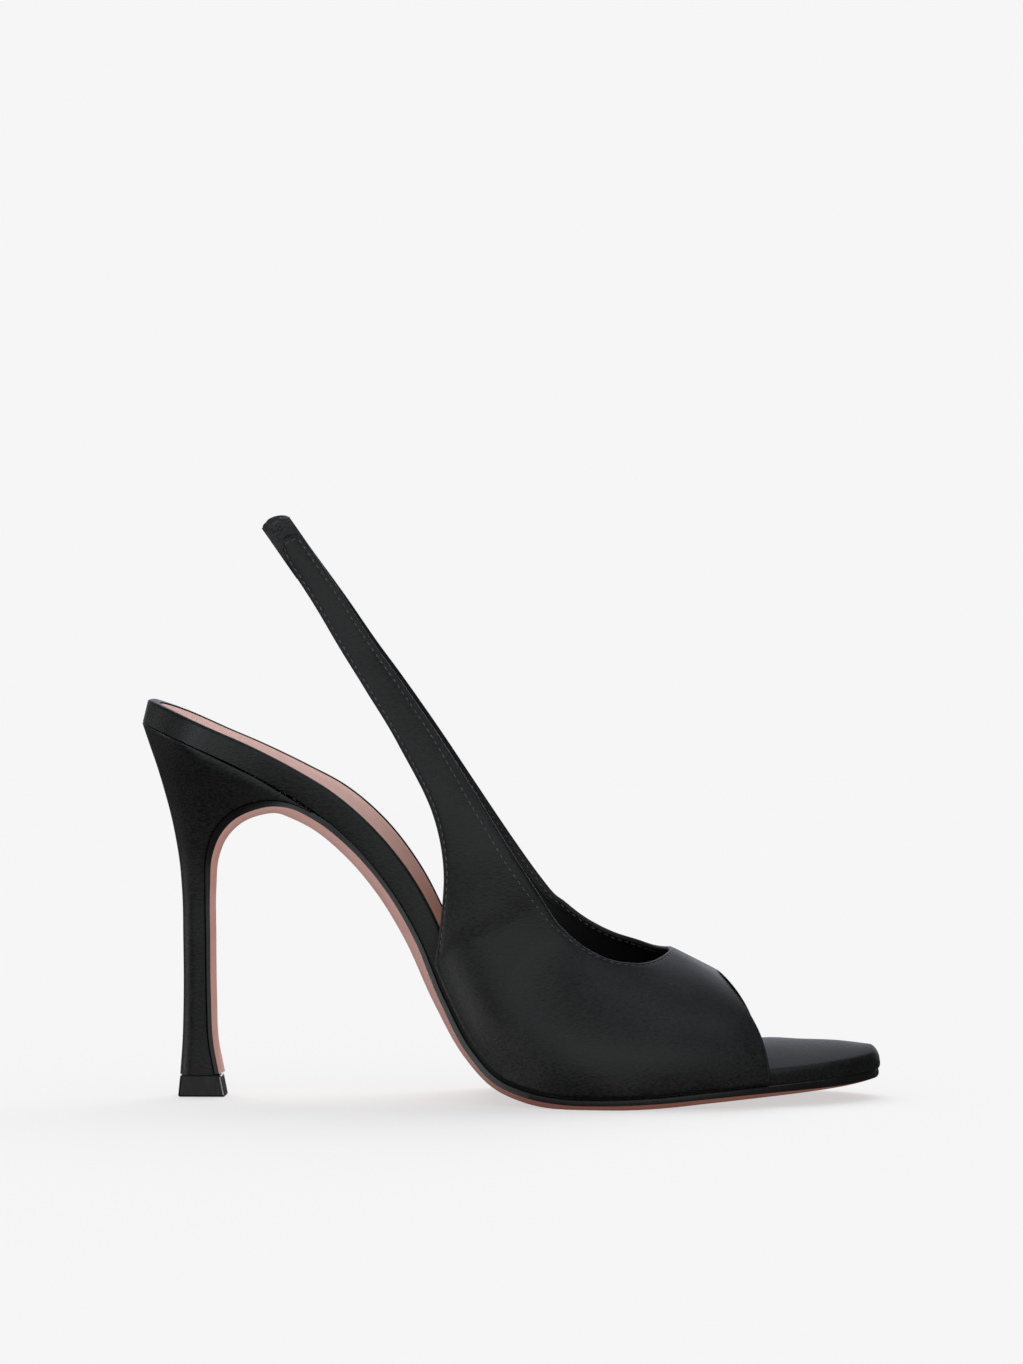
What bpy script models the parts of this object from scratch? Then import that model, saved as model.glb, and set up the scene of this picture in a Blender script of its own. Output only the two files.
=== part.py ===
"""Slingback heel: a right shoe with a peep toe, a slim high heel and an elastic sling.

All sizes are in millimetres and become metres when a mesh is made. The toe points to +X,
+Z is up, and the outer (lateral) side of the foot is at -Y. The floor is z = 0.
"""

import math

import bmesh
import bpy
import numpy as np

MM = 0.001
OBJECT_NAME = "slingback_heel"

# Fits and thicknesses
GAP = 0.3              # between neighbouring pieces
WALL = 1.6             # upper: satin, stiffener and lining together
SOLE_EDGE = 1.5        # upright painted edge of the outsole
SOCK = 0.8             # leather sock
SOCK_INSET = 1.9       # sock's edge inside the board's edge
SOCK_BACK = 3.2        # and inside the board's end at the heel
BED_ABOVE = 3.0        # how far the cutter of the sock's bed stands above the board
SOCK_FRONT_X = 40.0    # the sock begins at the first section behind this, under the vamp
BOARD_ROUND = 1.0      # rounded top edge of the covered board
BOARD_ROUND_SHARE = 0.4    # most of the half breadth that it takes near the toe's tip
CROWN_POWER = 2.4      # how flat the board's dome is across
ELASTIC = 1.2          # thickness of the back elastic
ELASTIC_WIDTH = 8.0
ELASTIC_LAP = (0.08, 0.04, 0.0)    # sections behind each arm, along the upper's u
ELASTIC_LOOP = 7.6     # how far the loop stands out behind the arms' ends
ELASTIC_CROWN = 1.4    # how much further its middle stands out
ELASTIC_SKEW = 1.0     # how much less its upper edge stands out
ELASTIC_GAP = 0.45     # elastic's face clear of the arms
ARM_END_ROUND = 2.0    # how far an arm's rounded end stands past its straight part
ARM_END_SPAN = 0.06    # share of u over which that end is rounded
FEATHER_LIFT = 0.6     # upper's lower edge above the joint of board and outsole
FEATHER_GAP = 0.4      # upper's inner face clear of the board's side

# Ends of the foot's outline
TOE_ROUND = 76.0       # length of the pointed-oval forepart, from ball to tip
TOE_POINT = 1.85       # how pointed that oval is, 2 for an ellipse
HEEL_ROUND = 20.0      # length of the round heel end
TOE_START = 0.25       # first section, from the toe's tip
TIP_ROUND = 2.4        # length of the tip's rounded top edge
TIP_SHARE = 0.4        # share of the board's height at the very tip
SOLE_TOE_BACK = 1.2    # outsole's tip behind the board's
HEEL_START = 0.12      # last section, from the heel's end
END_LEAN = 0.17        # how far the heel's end leans back for each millimetre of height
END_LEAN_REACH = 12.0  # length over which that lean grows

# Foot line: the joint between board and outsole, from the toe's tip to the heel's end.
# swing moves the middle towards the inner side, lateral and medial are half breadths of the
# board, board is its side wall, rise how much higher that is on the inner side, crown its
# dome, welt how far the outsole's edge stands out, belly the outsole's depth below that edge
# and full how flat that belly is across.
FOOT_COLUMNS = ("x", "z", "swing", "lateral", "medial", "board", "rise", "crown", "welt", "belly",
                "full")
FOOT_ROWS = (
    (100.8, 8.2, 3.0, 39.4, 36.0, 4.4, 0.0, 1.5, 0.0, 0.5, 12.0),
    (91.0, 6.9, 2.6, 39.4, 36.0, 5.2, 0.0, 3.4, 0.5, 0.9, 40.0),
    (80.0, 6.2, 2.1, 39.4, 36.0, 5.0, 0.0, 4.4, 0.8, 1.1, 60.0),
    (69.0, 5.5, 1.5, 39.4, 36.0, 4.9, 0.0, 5.2, 1.4, 1.2, 80.0),
    (54.0, 4.3, 0.8, 39.4, 36.0, 4.4, 0.0, 3.0, 1.9, 1.2, 80.0),
    (40.0, 3.1, 0.2, 39.4, 35.6, 4.0, 0.0, 1.0, 1.9, 1.2, 80.0),
    (26.0, 2.6, 0.0, 39.4, 35.2, 4.0, 0.0, 0.5, 1.9, 1.2, 80.0),
    (14.0, 2.8, 0.0, 37.0, 33.4, 4.0, 0.0, 0.4, 1.9, 1.4, 50.0),
    (5.0, 4.3, 0.0, 33.4, 30.6, 4.2, 0.0, 0.3, 1.9, 1.7, 20.0),
    (-2.5, 7.3, 0.0, 30.0, 28.0, 4.4, 0.1, 0.2, 1.9, 1.9, 8.0),
    (-9.7, 14.7, 0.0, 26.8, 25.4, 4.8, 0.1, 0.1, 1.9, 2.2, 4.0),
    (-17.1, 28.1, 0.0, 24.0, 22.8, 5.3, 0.2, 0.0, 1.6, 2.8, 2.4),
    (-24.9, 46.0, 0.0, 22.0, 21.0, 6.3, 0.5, 0.0, 0.8, 3.4, 2.2),
    (-32.6, 58.5, 0.0, 21.0, 20.2, 6.8, 1.2, 0.0, 0.6, 3.4, 2.2),
    (-42.0, 69.5, 0.0, 20.8, 20.2, 7.0, 1.75, 0.0, 0.5, 3.4, 2.2),
    (-52.0, 77.9, 0.0, 21.4, 21.0, 7.2, 1.5, 0.0, 0.4, 3.3, 2.2),
    (-60.5, 83.4, 0.0, 22.2, 22.0, 7.0, 0.75, 0.0, 0.4, 3.3, 2.2),
    (-72.5, 90.0, 0.0, 22.8, 22.8, 6.7, 0.25, 0.0, 0.4, 3.2, 2.2),
    (-83.5, 95.1, 0.0, 22.8, 22.8, 6.45, 0.15, 0.0, 0.4, 3.0, 2.2),
    (-92.0, 98.8, 0.0, 22.8, 22.8, 6.55, 0.3, 0.0, 0.4, 3.0, 2.2),
    (-100.9, 102.4, 0.0, 22.8, 22.8, 6.5, 0.4, 0.0, 0.4, 3.0, 2.2),
)

# Breast line: where the outsole leaves the board, arches over and runs down the heel.
# x and z lie on the joint of heel and outsole, half is the outsole's half breadth, and
# back_x, back_z and heel_half give the heel's section that ends on the same line.
BREAST_COLUMNS = ("x", "z", "half", "belly", "back_x", "back_z", "heel_half")
BREAST_ROWS = (
    (-58.5, 80.5, 21.6, 3.1, -100.85, 101.5, 22.9),
    (-63.5, 81.4, 20.4, 2.4, -99.15, 96.4, 22.0),
    (-70.0, 80.5, 17.4, 2.2, -97.3, 91.0, 19.4),
    (-76.2, 77.6, 13.0, 2.0, -95.2, 84.0, 15.0),
    (-80.9, 72.6, 9.0, 1.8, -93.0, 75.5, 10.6),
    (-83.3, 66.4, 6.2, 1.6, -91.3, 66.4, 7.2),
    (-83.9, 57.0, 4.9, 1.3, -90.3, 56.0, 5.3),
    (-83.8, 44.0, 4.5, 1.2, -90.0, 43.0, 4.7),
    (-83.6, 27.0, 4.4, 1.2, -89.9, 27.0, 4.5),
    (-83.1, 15.0, 4.5, 1.2, -90.2, 15.0, 4.6),
    (-81.4, 6.3, 4.7, 1.2, -90.8, 6.3, 4.8),
)
SHARED_ROWS = 16       # rows of the foot line that the outsole follows before the breast
BREAST_EDGE = 1.5      # painted edge of the outsole on the breast
LEAVE_DROP = 0.4       # how far the outsole has left the board at its last shared row
SEAT_TOP = (-54.6, 84.0, -102.0, 107.0)   # front and back of the heel blank above the seat
SEAT_HALF = 22.9
SEAT_ROWS = ((4.2, -101.3, 103.6), (2.8, -101.15, 102.9), (1.4, -101.0, 102.2))
# Each seat row: how far before the breast line its front lies on the outsole, and its back
SEAT_FROM_X = -50.0    # where the cut along the board begins
CUTTER_HALF = 40.0
CUTTER_TOP = 130.0
HEEL_TURN = 0.9        # length of the heel's round back, in half breadths
HEEL_TURN_LIMIT = 0.85     # and at most this share of the section

# Top lift
LIFT_HEIGHT = 6.0
LIFT_FLOOR = (-91.0, -78.1, 4.8)    # back, front and half width at the floor
LIFT_TOP = (-90.4, -79.3, 4.7)
LIFT_BEVEL = 0.5
LIFT_BEVEL_STEPS = 2

# Upper, outer (lateral) half. u runs from the arm's end (0) along the arm to the back corner
# at the sole (1), along the feather line to the front corner (2) and round the toe opening
# to the middle of the vamp (3). The inner half mirrors it from 3 to 6. bulge is how far a rib
# stands out of its chord, back and rise how far the inner topline lies behind and above the
# outer one.
VAMP_MIDDLE = 3.0
INNER_END = 6.0
THROAT_COLUMNS = ("u", "x", "y", "z", "bulge", "back", "rise")
THROAT_ROWS = (
    (0.00, -56.6, 10.8, 153.1, 0.1, 1.1, 0.1),
    (0.15, -46.0, 12.6, 137.7, 0.1, 0.7, 0.2),
    (0.30, -37.4, 15.3, 124.7, 0.2, 0.6, 0.4),
    (0.45, -28.9, 18.5, 113.3, 0.3, 1.1, 0.7),
    (0.60, -17.8, 23.5, 97.7, 0.3, 2.0, 1.3),
    (0.72, -7.6, 28.0, 81.8, 0.4, 2.3, 1.9),
    (0.82, -0.2, 30.1, 69.8, 0.8, 2.1, 2.4),
    (0.90, 5.0, 30.5, 61.6, 1.5, 2.0, 2.9),
    (1.00, 9.9, 29.9, 53.9, 3.2, 1.6, 3.5),
    (1.25, 15.3, 28.8, 47.3, 4.0, 1.0, 4.7),
    (1.50, 21.0, 27.5, 42.5, 3.8, 0.6, 5.1),
    (1.75, 27.5, 25.7, 39.3, 4.6, 0.3, 4.9),
    (2.00, 34.0, 22.6, 38.2, 5.2, 0.0, 3.9),
    (2.25, 38.2, 18.3, 38.5, 2.5, 0.0, 2.4),
    (2.50, 41.0, 13.0, 39.5, 0.8, 0.0, 1.2),
    (2.75, 43.0, 6.7, 40.6, 0.2, 0.0, 0.4),
    (3.00, 43.7, 0.0, 41.1, 0.0, 0.0, 0.0),
)
BACK_COLUMNS = ("u", "x", "y", "z")
BACK_ROWS = (
    (0.00, -63.5, 10.8, 149.1),
    (0.15, -53.8, 12.3, 134.8),
    (0.30, -46.2, 14.8, 122.3),
    (0.45, -39.0, 18.0, 110.9),
    (0.60, -30.1, 23.0, 96.5),
    (0.72, -21.0, 27.6, 78.2),
    (0.82, -18.4, 29.2, 63.0),
    (0.90, -19.6, 28.0, 50.0),
    (1.00, -22.0, 25.4, 38.5),
)
CORNER_BEND = 3            # how late the back edge bends to the back corner
RIB_LEAN = 0.7             # how much fuller a rib is near the sole than near the throat
BACK_CORNER_X = -21.0      # on the foot line, under the back corner
FRONT_CORNER_X = 70.2      # on the foot line, under the toe opening's corner
TOE_TOP = (56.6, 34.4)     # middle of the toe opening's edge, x and z
TOE_ARCH_Y = 0.9           # roundness of the toe opening across
TOE_ARCH_Z = 0.92          # and in height
MEDIAL_TOE_BACK = 1.2      # inner toe edge behind the outer one
MEDIAL_ARM_BACK = 1.1      # inner arm's end behind the outer one
MEDIAL_ARM_FADE = 0.4      # where along u that has faded out

# Steps of the meshes
BODY_SECTIONS = 34
TOE_SECTIONS = 11
HEEL_END_SECTIONS = 6
SECTION_CLEAR = 1.0        # least distance from an end section to the next
FLAT_POINTS = 5            # across a flat face
BOARD_POINTS = 11          # across the board's top
SOCK_POINTS = 9
BELLY_POINTS = 15          # across the outsole's belly
HEEL_POINTS = 8            # on one side of the heel's round back
BREAST_STEPS = 2
UPPER_STEPS = (20, 12, 8)  # along arm, feather line and toe edge of one half
RIB_STEPS = 8
LOOP_STEPS = 12
PATH_REACH = 0.2           # either side of a place on a path, where its direction is read
RIB_REACH = 0.02           # the same along u
SHARP_DEGREES = 40.0       # edges sharper than this stay sharp

FINISH = {
    "satin": ((0.012, 0.012, 0.013, 1.0), 0.45),
    "pink_leather": ((0.56, 0.33, 0.29, 1.0), 0.5),
    "sole_leather": ((0.46, 0.26, 0.22, 1.0), 0.4),
    "plastic": ((0.012, 0.012, 0.012, 1.0), 0.25),
    "elastic": ((0.016, 0.016, 0.016, 1.0), 0.7),
}


def named_columns(columns, values):
    """A table's columns by name."""
    return {name: values[:, i] for i, name in enumerate(columns)}


def smooth(knots, values, at):
    """A smooth curve through the rows of a table, read at one place or many."""
    slopes = np.gradient(values, knots)
    low = np.clip(np.searchsorted(knots, at) - 1, 0, len(knots) - 2)
    span = knots[low + 1] - knots[low]
    f = (at - knots[low]) / span
    start = (1 + 2 * f) * (1 - f) ** 2 * values[low] + f * (1 - f) ** 2 * span * slopes[low]
    end = f * f * (3 - 2 * f) * values[low + 1] + f * f * (f - 1) * span * slopes[low + 1]
    return start + end


class Line:
    """A table whose rows lie on a path in the XZ plane, read by the distance along the path."""

    def __init__(self, columns, rows):
        self.columns = named_columns(columns, np.array(rows, dtype=float))
        steps = np.hypot(np.diff(self.columns["x"]), np.diff(self.columns["z"]))
        self.knots = np.concatenate(([0.0], np.cumsum(steps)))
        self.length = self.knots[-1]

    def at(self, column, s):
        """One column at the distance s."""
        return smooth(self.knots, self.columns[column], s)

    def frame(self, s):
        """Point on the path and the unit normal that points to the foot's side."""
        ahead = min(s + PATH_REACH, self.length)
        behind = max(s - PATH_REACH, 0.0)
        run = self.at("x", ahead) - self.at("x", behind)
        rise = self.at("z", ahead) - self.at("z", behind)
        size = math.hypot(run, rise)
        return np.array((self.at("x", s), self.at("z", s))), np.array((rise, -run)) / size

    def place(self, s, points):
        """Points given as (y, height above the path) set square to the path at s."""
        base, normal = self.frame(s)
        placed = [(base[0] + n * normal[0], y, base[1] + n * normal[1]) for y, n in points]
        return np.array(placed)

    def distance_at_x(self, x):
        """Distance along the path where it passes x, on a path whose x only falls."""
        return float(np.interp(-x, -self.columns["x"], self.knots))


FOOT = Line(FOOT_COLUMNS, FOOT_ROWS)


def sole_line():
    """The outsole's path: the foot line to the waist, then the breast line."""
    shared = [dict(zip(FOOT_COLUMNS, row)) for row in FOOT_ROWS[:SHARED_ROWS]]
    breast = [dict(zip(BREAST_COLUMNS, row)) for row in BREAST_ROWS]
    last = shared[-1]
    last["z"] -= LEAVE_DROP
    columns = ("x", "z", "swing", "belly", "full", "lateral", "medial", "edge")
    rows = [(r["x"], r["z"], r["swing"], r["belly"], r["full"], r["lateral"] + r["welt"],
             r["medial"] + r["welt"], SOLE_EDGE) for r in shared]
    rows += [(r["x"], r["z"], last["swing"], r["belly"], last["full"], r["half"], r["half"],
              BREAST_EDGE) for r in breast]
    return Line(columns, rows)


SOLE = sole_line()


def opened(distance, length, point):
    """How far an oval end has opened at a distance from its tip, 0 to 1."""
    left = 1.0 - min(distance / length, 1.0)
    return (1.0 - left ** point) ** (1.0 / point)


def end_factor(s):
    """How far the outline has opened from the toe's tip and from the heel's end, 0 to 1."""
    return opened(s, TOE_ROUND, TOE_POINT) * opened(FOOT.length - s, HEEL_ROUND, 2.0)


def board_half(side, s):
    """Half breadth of the board on the lateral or the medial side."""
    return FOOT.at(side, s) * end_factor(s)


def spread(middle, lateral, medial):
    """A function from -1 (lateral) to 1 (medial) to y, for unlike half breadths."""
    return lambda f: middle + f * (medial if f > 0 else lateral)


def across(s, inset=0.0):
    """The board's spread at s, less an inset."""
    lateral = board_half("lateral", s) - inset
    medial = board_half("medial", s) - inset
    return spread(FOOT.at("swing", s), lateral, medial)


def tip_turn(s):
    """Share of its height that the board has at a distance from the toe's rounded tip."""
    return TIP_SHARE + (1.0 - TIP_SHARE) * opened(s, TIP_ROUND, 2.0)


def board_top(s, f):
    """Height of the board's top above the foot line, at the share f across."""
    dome = FOOT.at("crown", s) * (1.0 - abs(f) ** CROWN_POWER)
    return (FOOT.at("board", s) + FOOT.at("rise", s) * (1.0 + f) / 2 + dome) * tip_turn(s)


def foot_sections():
    """Distances of the board's sections: close at both round ends, even between."""
    toe = TOE_ROUND * (np.arange(1, TOE_SECTIONS) / TOE_SECTIONS) ** 2
    body = np.linspace(TOE_ROUND, FOOT.length - HEEL_ROUND, BODY_SECTIONS)
    turn = np.linspace(math.pi / 2, 0.0, HEEL_END_SECTIONS + 1)[1:-1]
    heel = FOOT.length - HEEL_ROUND * (1.0 - np.cos(turn))
    return np.concatenate(([TOE_START], toe, body, heel, [FOOT.length - HEEL_START]))


def new_object(name, points, faces, collection, finish):
    """A mesh object from points in millimetres, its faces turned outwards and smooth."""
    mesh = bpy.data.meshes.new(name)
    mesh.from_pydata([tuple(p * MM) for p in points], [], faces)
    shape = bmesh.new()
    shape.from_mesh(mesh)
    bmesh.ops.recalc_face_normals(shape, faces=shape.faces)
    shape.to_mesh(mesh)
    shape.free()
    mesh.shade_smooth()
    mesh.set_sharp_from_angle(angle=math.radians(SHARP_DEGREES))
    if finish:
        mesh.materials.append(finish)
    item = bpy.data.objects.new(name, mesh)
    collection.objects.link(item)
    return item


def loft(name, rings, collection, finish):
    """A closed solid through rings of equal length, capped at both ends."""
    count = len(rings[0])
    faces = []
    for r in range(len(rings) - 1):
        for i in range(count):
            j = (i + 1) % count
            faces.append((r * count + i, r * count + j, (r + 1) * count + j, (r + 1) * count + i))
    faces.append(tuple(range(count)))
    faces.append(tuple((len(rings) - 1) * count + i for i in range(count)))
    return new_object(name, np.concatenate(rings), faces, collection, finish)


def make_board(collection, cutters, finish):
    """The covered insole board, flat below, domed at the open toe, with a bed for the sock."""
    shares = np.linspace(-1.0, 1.0, BOARD_POINTS)
    rings = []
    for s in foot_sections():
        y = across(s)
        edge = across(s, min(BOARD_ROUND, BOARD_ROUND_SHARE * board_half("medial", s)))
        ring = [(y(f), GAP / 2) for f in np.linspace(-1.0, 1.0, FLAT_POINTS)]
        ring.append((y(1.0), board_top(s, 1.0) - BOARD_ROUND * tip_turn(s)))
        ring += [(edge(f), board_top(s, f)) for f in shares[::-1]]
        ring.append((y(-1.0), board_top(s, -1.0) - BOARD_ROUND * tip_turn(s)))
        rings.append(end_lean(s, FOOT.place(s, ring), ring))
    board = loft("insole_board", rings, collection, finish)
    bed = loft("sock_bed_cutter", sock_rings(GAP, -SOCK - GAP, BED_ABOVE), cutters, None)
    subtract(board, bed)
    return board


def end_lean(s, placed, ring):
    """Lean a section back by its heights, towards the heel's end."""
    share = max(0.0, 1.0 - (FOOT.length - s) / END_LEAN_REACH)
    placed[:, 0] -= END_LEAN * share ** 2 * np.array([height for _, height in ring])
    return placed


def subtract(item, cutter):
    """Cut a cutter out of a piece and hide the cutter."""
    cut = item.modifiers.new(cutter.name, "BOOLEAN")
    cut.object = cutter
    cut.operation = "DIFFERENCE"
    cutter.hide_render = True
    cutter.display_type = "WIRE"


def sock_rings(grow, low, high):
    """Sections of the sock grown all round, from low to high above the board's top."""
    front = FOOT.distance_at_x(SOCK_FRONT_X)
    back = FOOT.length - SOCK_BACK
    inside = [s for s in foot_sections() if front < s < back - SECTION_CLEAR]
    shares = np.linspace(-1.0, 1.0, SOCK_POINTS)
    rings = []
    for s in [inside[0] - grow] + inside[1:] + [back + grow]:
        y = across(s, BOARD_ROUND)
        inset = SOCK_INSET - grow - BOARD_ROUND
        cover = 1.0 - inset / max(board_half("medial", s) - BOARD_ROUND, 1.0)
        ring = [(y(f * cover), board_top(s, f * cover) + low) for f in shares]
        ring += [(y(f * cover), board_top(s, f * cover) + high) for f in shares[::-1]]
        rings.append(end_lean(s, FOOT.place(s, ring), ring))
    return rings


def make_sock(collection, finish):
    """The leather sock in the board's bed, from under the vamp to the heel's end."""
    return loft("sock", sock_rings(0.0, -SOCK, 0.0), collection, finish)


def stepped(knots):
    """The knots with BREAST_STEPS even steps between each and the next."""
    count = len(knots)
    places = np.linspace(0.0, count - 1.0, (count - 1) * BREAST_STEPS + 1)
    return list(np.interp(places, np.arange(count), knots))


def sole_sections():
    """The outsole's sections: the board's own while they share a path, then the breast's."""
    waist = SOLE.knots[SHARED_ROWS - 1]
    first = SOLE_TOE_BACK + TOE_START
    inside = [s for s in foot_sections() if first + SECTION_CLEAR < s < waist - SECTION_CLEAR]
    return [first] + inside + stepped(SOLE.knots[SHARED_ROWS - 1:])


def make_outsole(collection, finish):
    """The outsole: flat above, an upright edge, and a belly that is cut flat at the floor."""
    top = np.linspace(-1.0, 1.0, FLAT_POINTS)
    bottom = np.sin(np.linspace(-1.0, 1.0, BELLY_POINTS) * math.pi / 2)
    rings = []
    for s in sole_sections():
        toe = opened(s - SOLE_TOE_BACK, TOE_ROUND - SOLE_TOE_BACK, TOE_POINT)
        y = spread(SOLE.at("swing", s), SOLE.at("lateral", s) * toe, SOLE.at("medial", s) * toe)
        low = GAP / 2 + SOLE.at("edge", s)
        belly = SOLE.at("belly", s)
        full = SOLE.at("full", s)
        ring = [(y(f), -GAP / 2) for f in top]
        ring += [(y(f), -low - belly * (1.0 - abs(f) ** full)) for f in bottom[::-1]]
        placed = SOLE.place(s, ring)
        placed[:, 2] = np.maximum(placed[:, 2], 0.0)
        rings.append(placed)
    return loft("outsole", rings, collection, finish)


def heel_ring(back, front, half):
    """One section of the heel: round behind, straight across the breast."""
    along = front - back
    turn = min(HEEL_TURN_LIMIT, HEEL_TURN * half / np.hypot(*along))
    angles = np.linspace(0.0, math.pi / 2, HEEL_POINTS)
    side = [(turn * (1.0 - math.cos(a)), half * math.sin(a)) for a in angles]
    side.append(((1.0 + turn) / 2, half))
    side.append((1.0, half))
    outline = [(share, -y) for share, y in side[::-1]] + side[1:] + [(1.0, 0.0)]
    return np.array([(back[0] + share * along[0], y, back[1] + share * along[1])
                     for share, y in outline])


def make_heel(collection, cutters, finish):
    """The covered heel: a blank lofted from lift to seat, its top cut to the board."""
    breast = Line(BREAST_COLUMNS, BREAST_ROWS)
    start = SOLE.knots[SHARED_ROWS]
    rings = [heel_ring(np.array(SEAT_TOP[2:]), np.array(SEAT_TOP[:2]), SEAT_HALF)]
    for before, back_x, back_z in SEAT_ROWS:
        base, normal = SOLE.frame(start - before)
        rings.append(heel_ring(np.array((back_x, back_z)), base + normal * GAP / 2, SEAT_HALF))
    for s in stepped(SOLE.knots[SHARED_ROWS:]):
        base, normal = SOLE.frame(s)
        row = min(s - start, breast.length)
        back = np.array((breast.at("back_x", row), breast.at("back_z", row)))
        rings.append(heel_ring(back, base + normal * GAP / 2, breast.at("heel_half", row)))
    heel = loft("heel", rings, collection, finish)
    seat = [FOOT.frame(s) for s in foot_sections() if FOOT.at("x", s) < SEAT_FROM_X]
    under = [base - normal * GAP / 2 for base, normal in seat]
    subtract(heel, seat_cutter(under, cutters))
    return heel


def seat_cutter(under, cutters):
    """A block whose underside follows the board over the heel."""
    first = under[0] + (under[0] - under[1]) * 2.0
    last = under[-1] + (under[-1] - under[-3])
    line = [first] + under + [last]
    outline = [(p[0], p[1]) for p in line] + [(last[0], CUTTER_TOP), (first[0], CUTTER_TOP)]
    rings = [np.array([(x, y, z) for x, z in outline]) for y in (-CUTTER_HALF, CUTTER_HALF)]
    return loft("seat_cutter", rings, cutters, None)


def make_lift(collection, finish):
    """The top lift: a box that flares towards the floor, with rounded edges."""
    bpy.ops.mesh.primitive_cube_add(size=1.0)
    lift = bpy.context.object
    lift.name = "top_lift"
    lift.data.name = "top_lift"
    for corner in lift.data.vertices:
        back, front, half = LIFT_TOP if corner.co.z > 0 else LIFT_FLOOR
        height = LIFT_HEIGHT if corner.co.z > 0 else 0.0
        along = front if corner.co.x > 0 else back
        side = half if corner.co.y > 0 else -half
        corner.co = (along * MM, side * MM, height * MM)
    lift.data.materials.append(finish)
    bevel = lift.modifiers.new("edges", "BEVEL")
    bevel.width = LIFT_BEVEL * MM
    bevel.segments = LIFT_BEVEL_STEPS
    for owner in list(lift.users_collection):
        owner.objects.unlink(lift)
    collection.objects.link(lift)
    return lift


def mirrored(rows):
    """Rows of the outer half, then those of the inner half with u running on."""
    values = np.array(rows, dtype=float)
    other = values[-2::-1].copy()
    other[:, 0] = INNER_END - other[:, 0]
    return np.concatenate((values, other))


THROAT = named_columns(THROAT_COLUMNS, mirrored(THROAT_ROWS))
BACK = named_columns(BACK_COLUMNS, np.array(BACK_ROWS, dtype=float))


def half_place(u):
    """Place along one half (0 to 3) and the side's sign, -1 lateral and 1 medial."""
    return (u, -1.0) if u <= VAMP_MIDDLE else (INNER_END - u, 1.0)


def medial_shift(place):
    """How far the inner arm's back edge lies behind the outer one's, at its end."""
    return MEDIAL_ARM_BACK * max(0.0, 1.0 - place / MEDIAL_ARM_FADE)


def throat_point(u):
    """Edge of the throat and of the arms' upper side."""
    _, side = half_place(u)
    x, y, z, back, rise = (smooth(THROAT["u"], THROAT[name], u)
                           for name in ("x", "y", "z", "back", "rise"))
    if side > 0:
        x -= back
        z += rise
    return np.array((x, side * y, z))


def back_point(place, side):
    """Back edge of an arm, from its end down to the sole."""
    x, y, z = (smooth(BACK["u"], BACK[name], place) for name in ("x", "y", "z"))
    if side > 0:
        x -= medial_shift(place)
    return np.array((x, side * y, z))


def feather_point(x, side):
    """Lower edge of the upper, on its outer face, where the foot line passes x."""
    s = FOOT.distance_at_x(x)
    half = board_half("lateral" if side < 0 else "medial", s) + FEATHER_GAP + WALL
    return FOOT.place(s, [(FOOT.at("swing", s) + side * half, FEATHER_LIFT)])[0]


def toe_point(place, side):
    """Edge of the toe opening: an arch from the front corner to the middle of the vamp."""
    corner = feather_point(FRONT_CORNER_X - (MEDIAL_TOE_BACK if side > 0 else 0.0), side)
    turn = (place - 2.0) * math.pi / 2
    x = TOE_TOP[0] + (corner[0] - TOE_TOP[0]) * math.cos(turn) ** 2
    y = corner[1] * abs(math.cos(turn)) ** TOE_ARCH_Y
    z = corner[2] + (TOE_TOP[1] - corner[2]) * abs(math.sin(turn)) ** TOE_ARCH_Z
    return np.array((x, y, z))


def outer_point(u):
    """Outer edge of the upper: back edge, feather line or toe opening."""
    place, side = half_place(u)
    if place <= 1.0:
        corner = feather_point(BACK_CORNER_X, side)
        edge = back_point(place, side)
        return edge + (corner - back_point(1.0, side)) * place ** CORNER_BEND
    if place <= 2.0:
        x = BACK_CORNER_X + (FRONT_CORNER_X - BACK_CORNER_X) * (place - 1.0)
        if side > 0:
            x -= MEDIAL_TOE_BACK * (place - 1.0)
        return feather_point(x, side)
    return toe_point(place, side)


def rib_frame(u):
    """Both ends of a rib, the way out of the upper there and the way along the upper."""
    start, end = throat_point(u), outer_point(u)
    before, after = max(u - RIB_REACH, 0.0), min(u + RIB_REACH, INNER_END)
    along = throat_point(after) + outer_point(after) - throat_point(before) - outer_point(before)
    along /= np.linalg.norm(along)
    out = np.cross(end - start, along)
    return start, end, out / np.linalg.norm(out), along


def upper_rib(u):
    """A function from 0 (throat) to 1 (outer edge) to a point on the upper's outer face."""
    start, end, out, along = rib_frame(u)
    bulge = smooth(THROAT["u"], THROAT["bulge"], u)
    place, side = half_place(u)
    past_end = along * side * ARM_END_ROUND * max(0.0, 1.0 - place / ARM_END_SPAN)

    def point(v):
        arch = 4.0 * v * (1.0 - v)
        swell = bulge * arch * (1.0 + RIB_LEAN * (2.0 * v - 1.0))
        return start + (end - start) * v + out * swell + past_end * math.sqrt(arch)
    return point


def upper_places():
    """Places of the ribs along the whole upper, with both corners of each half."""
    half = [np.linspace(i, i + 1, steps, endpoint=False) for i, steps in enumerate(UPPER_STEPS)]
    half = np.concatenate(half)
    return np.concatenate((half, [VAMP_MIDDLE], INNER_END - half[::-1]))


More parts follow.
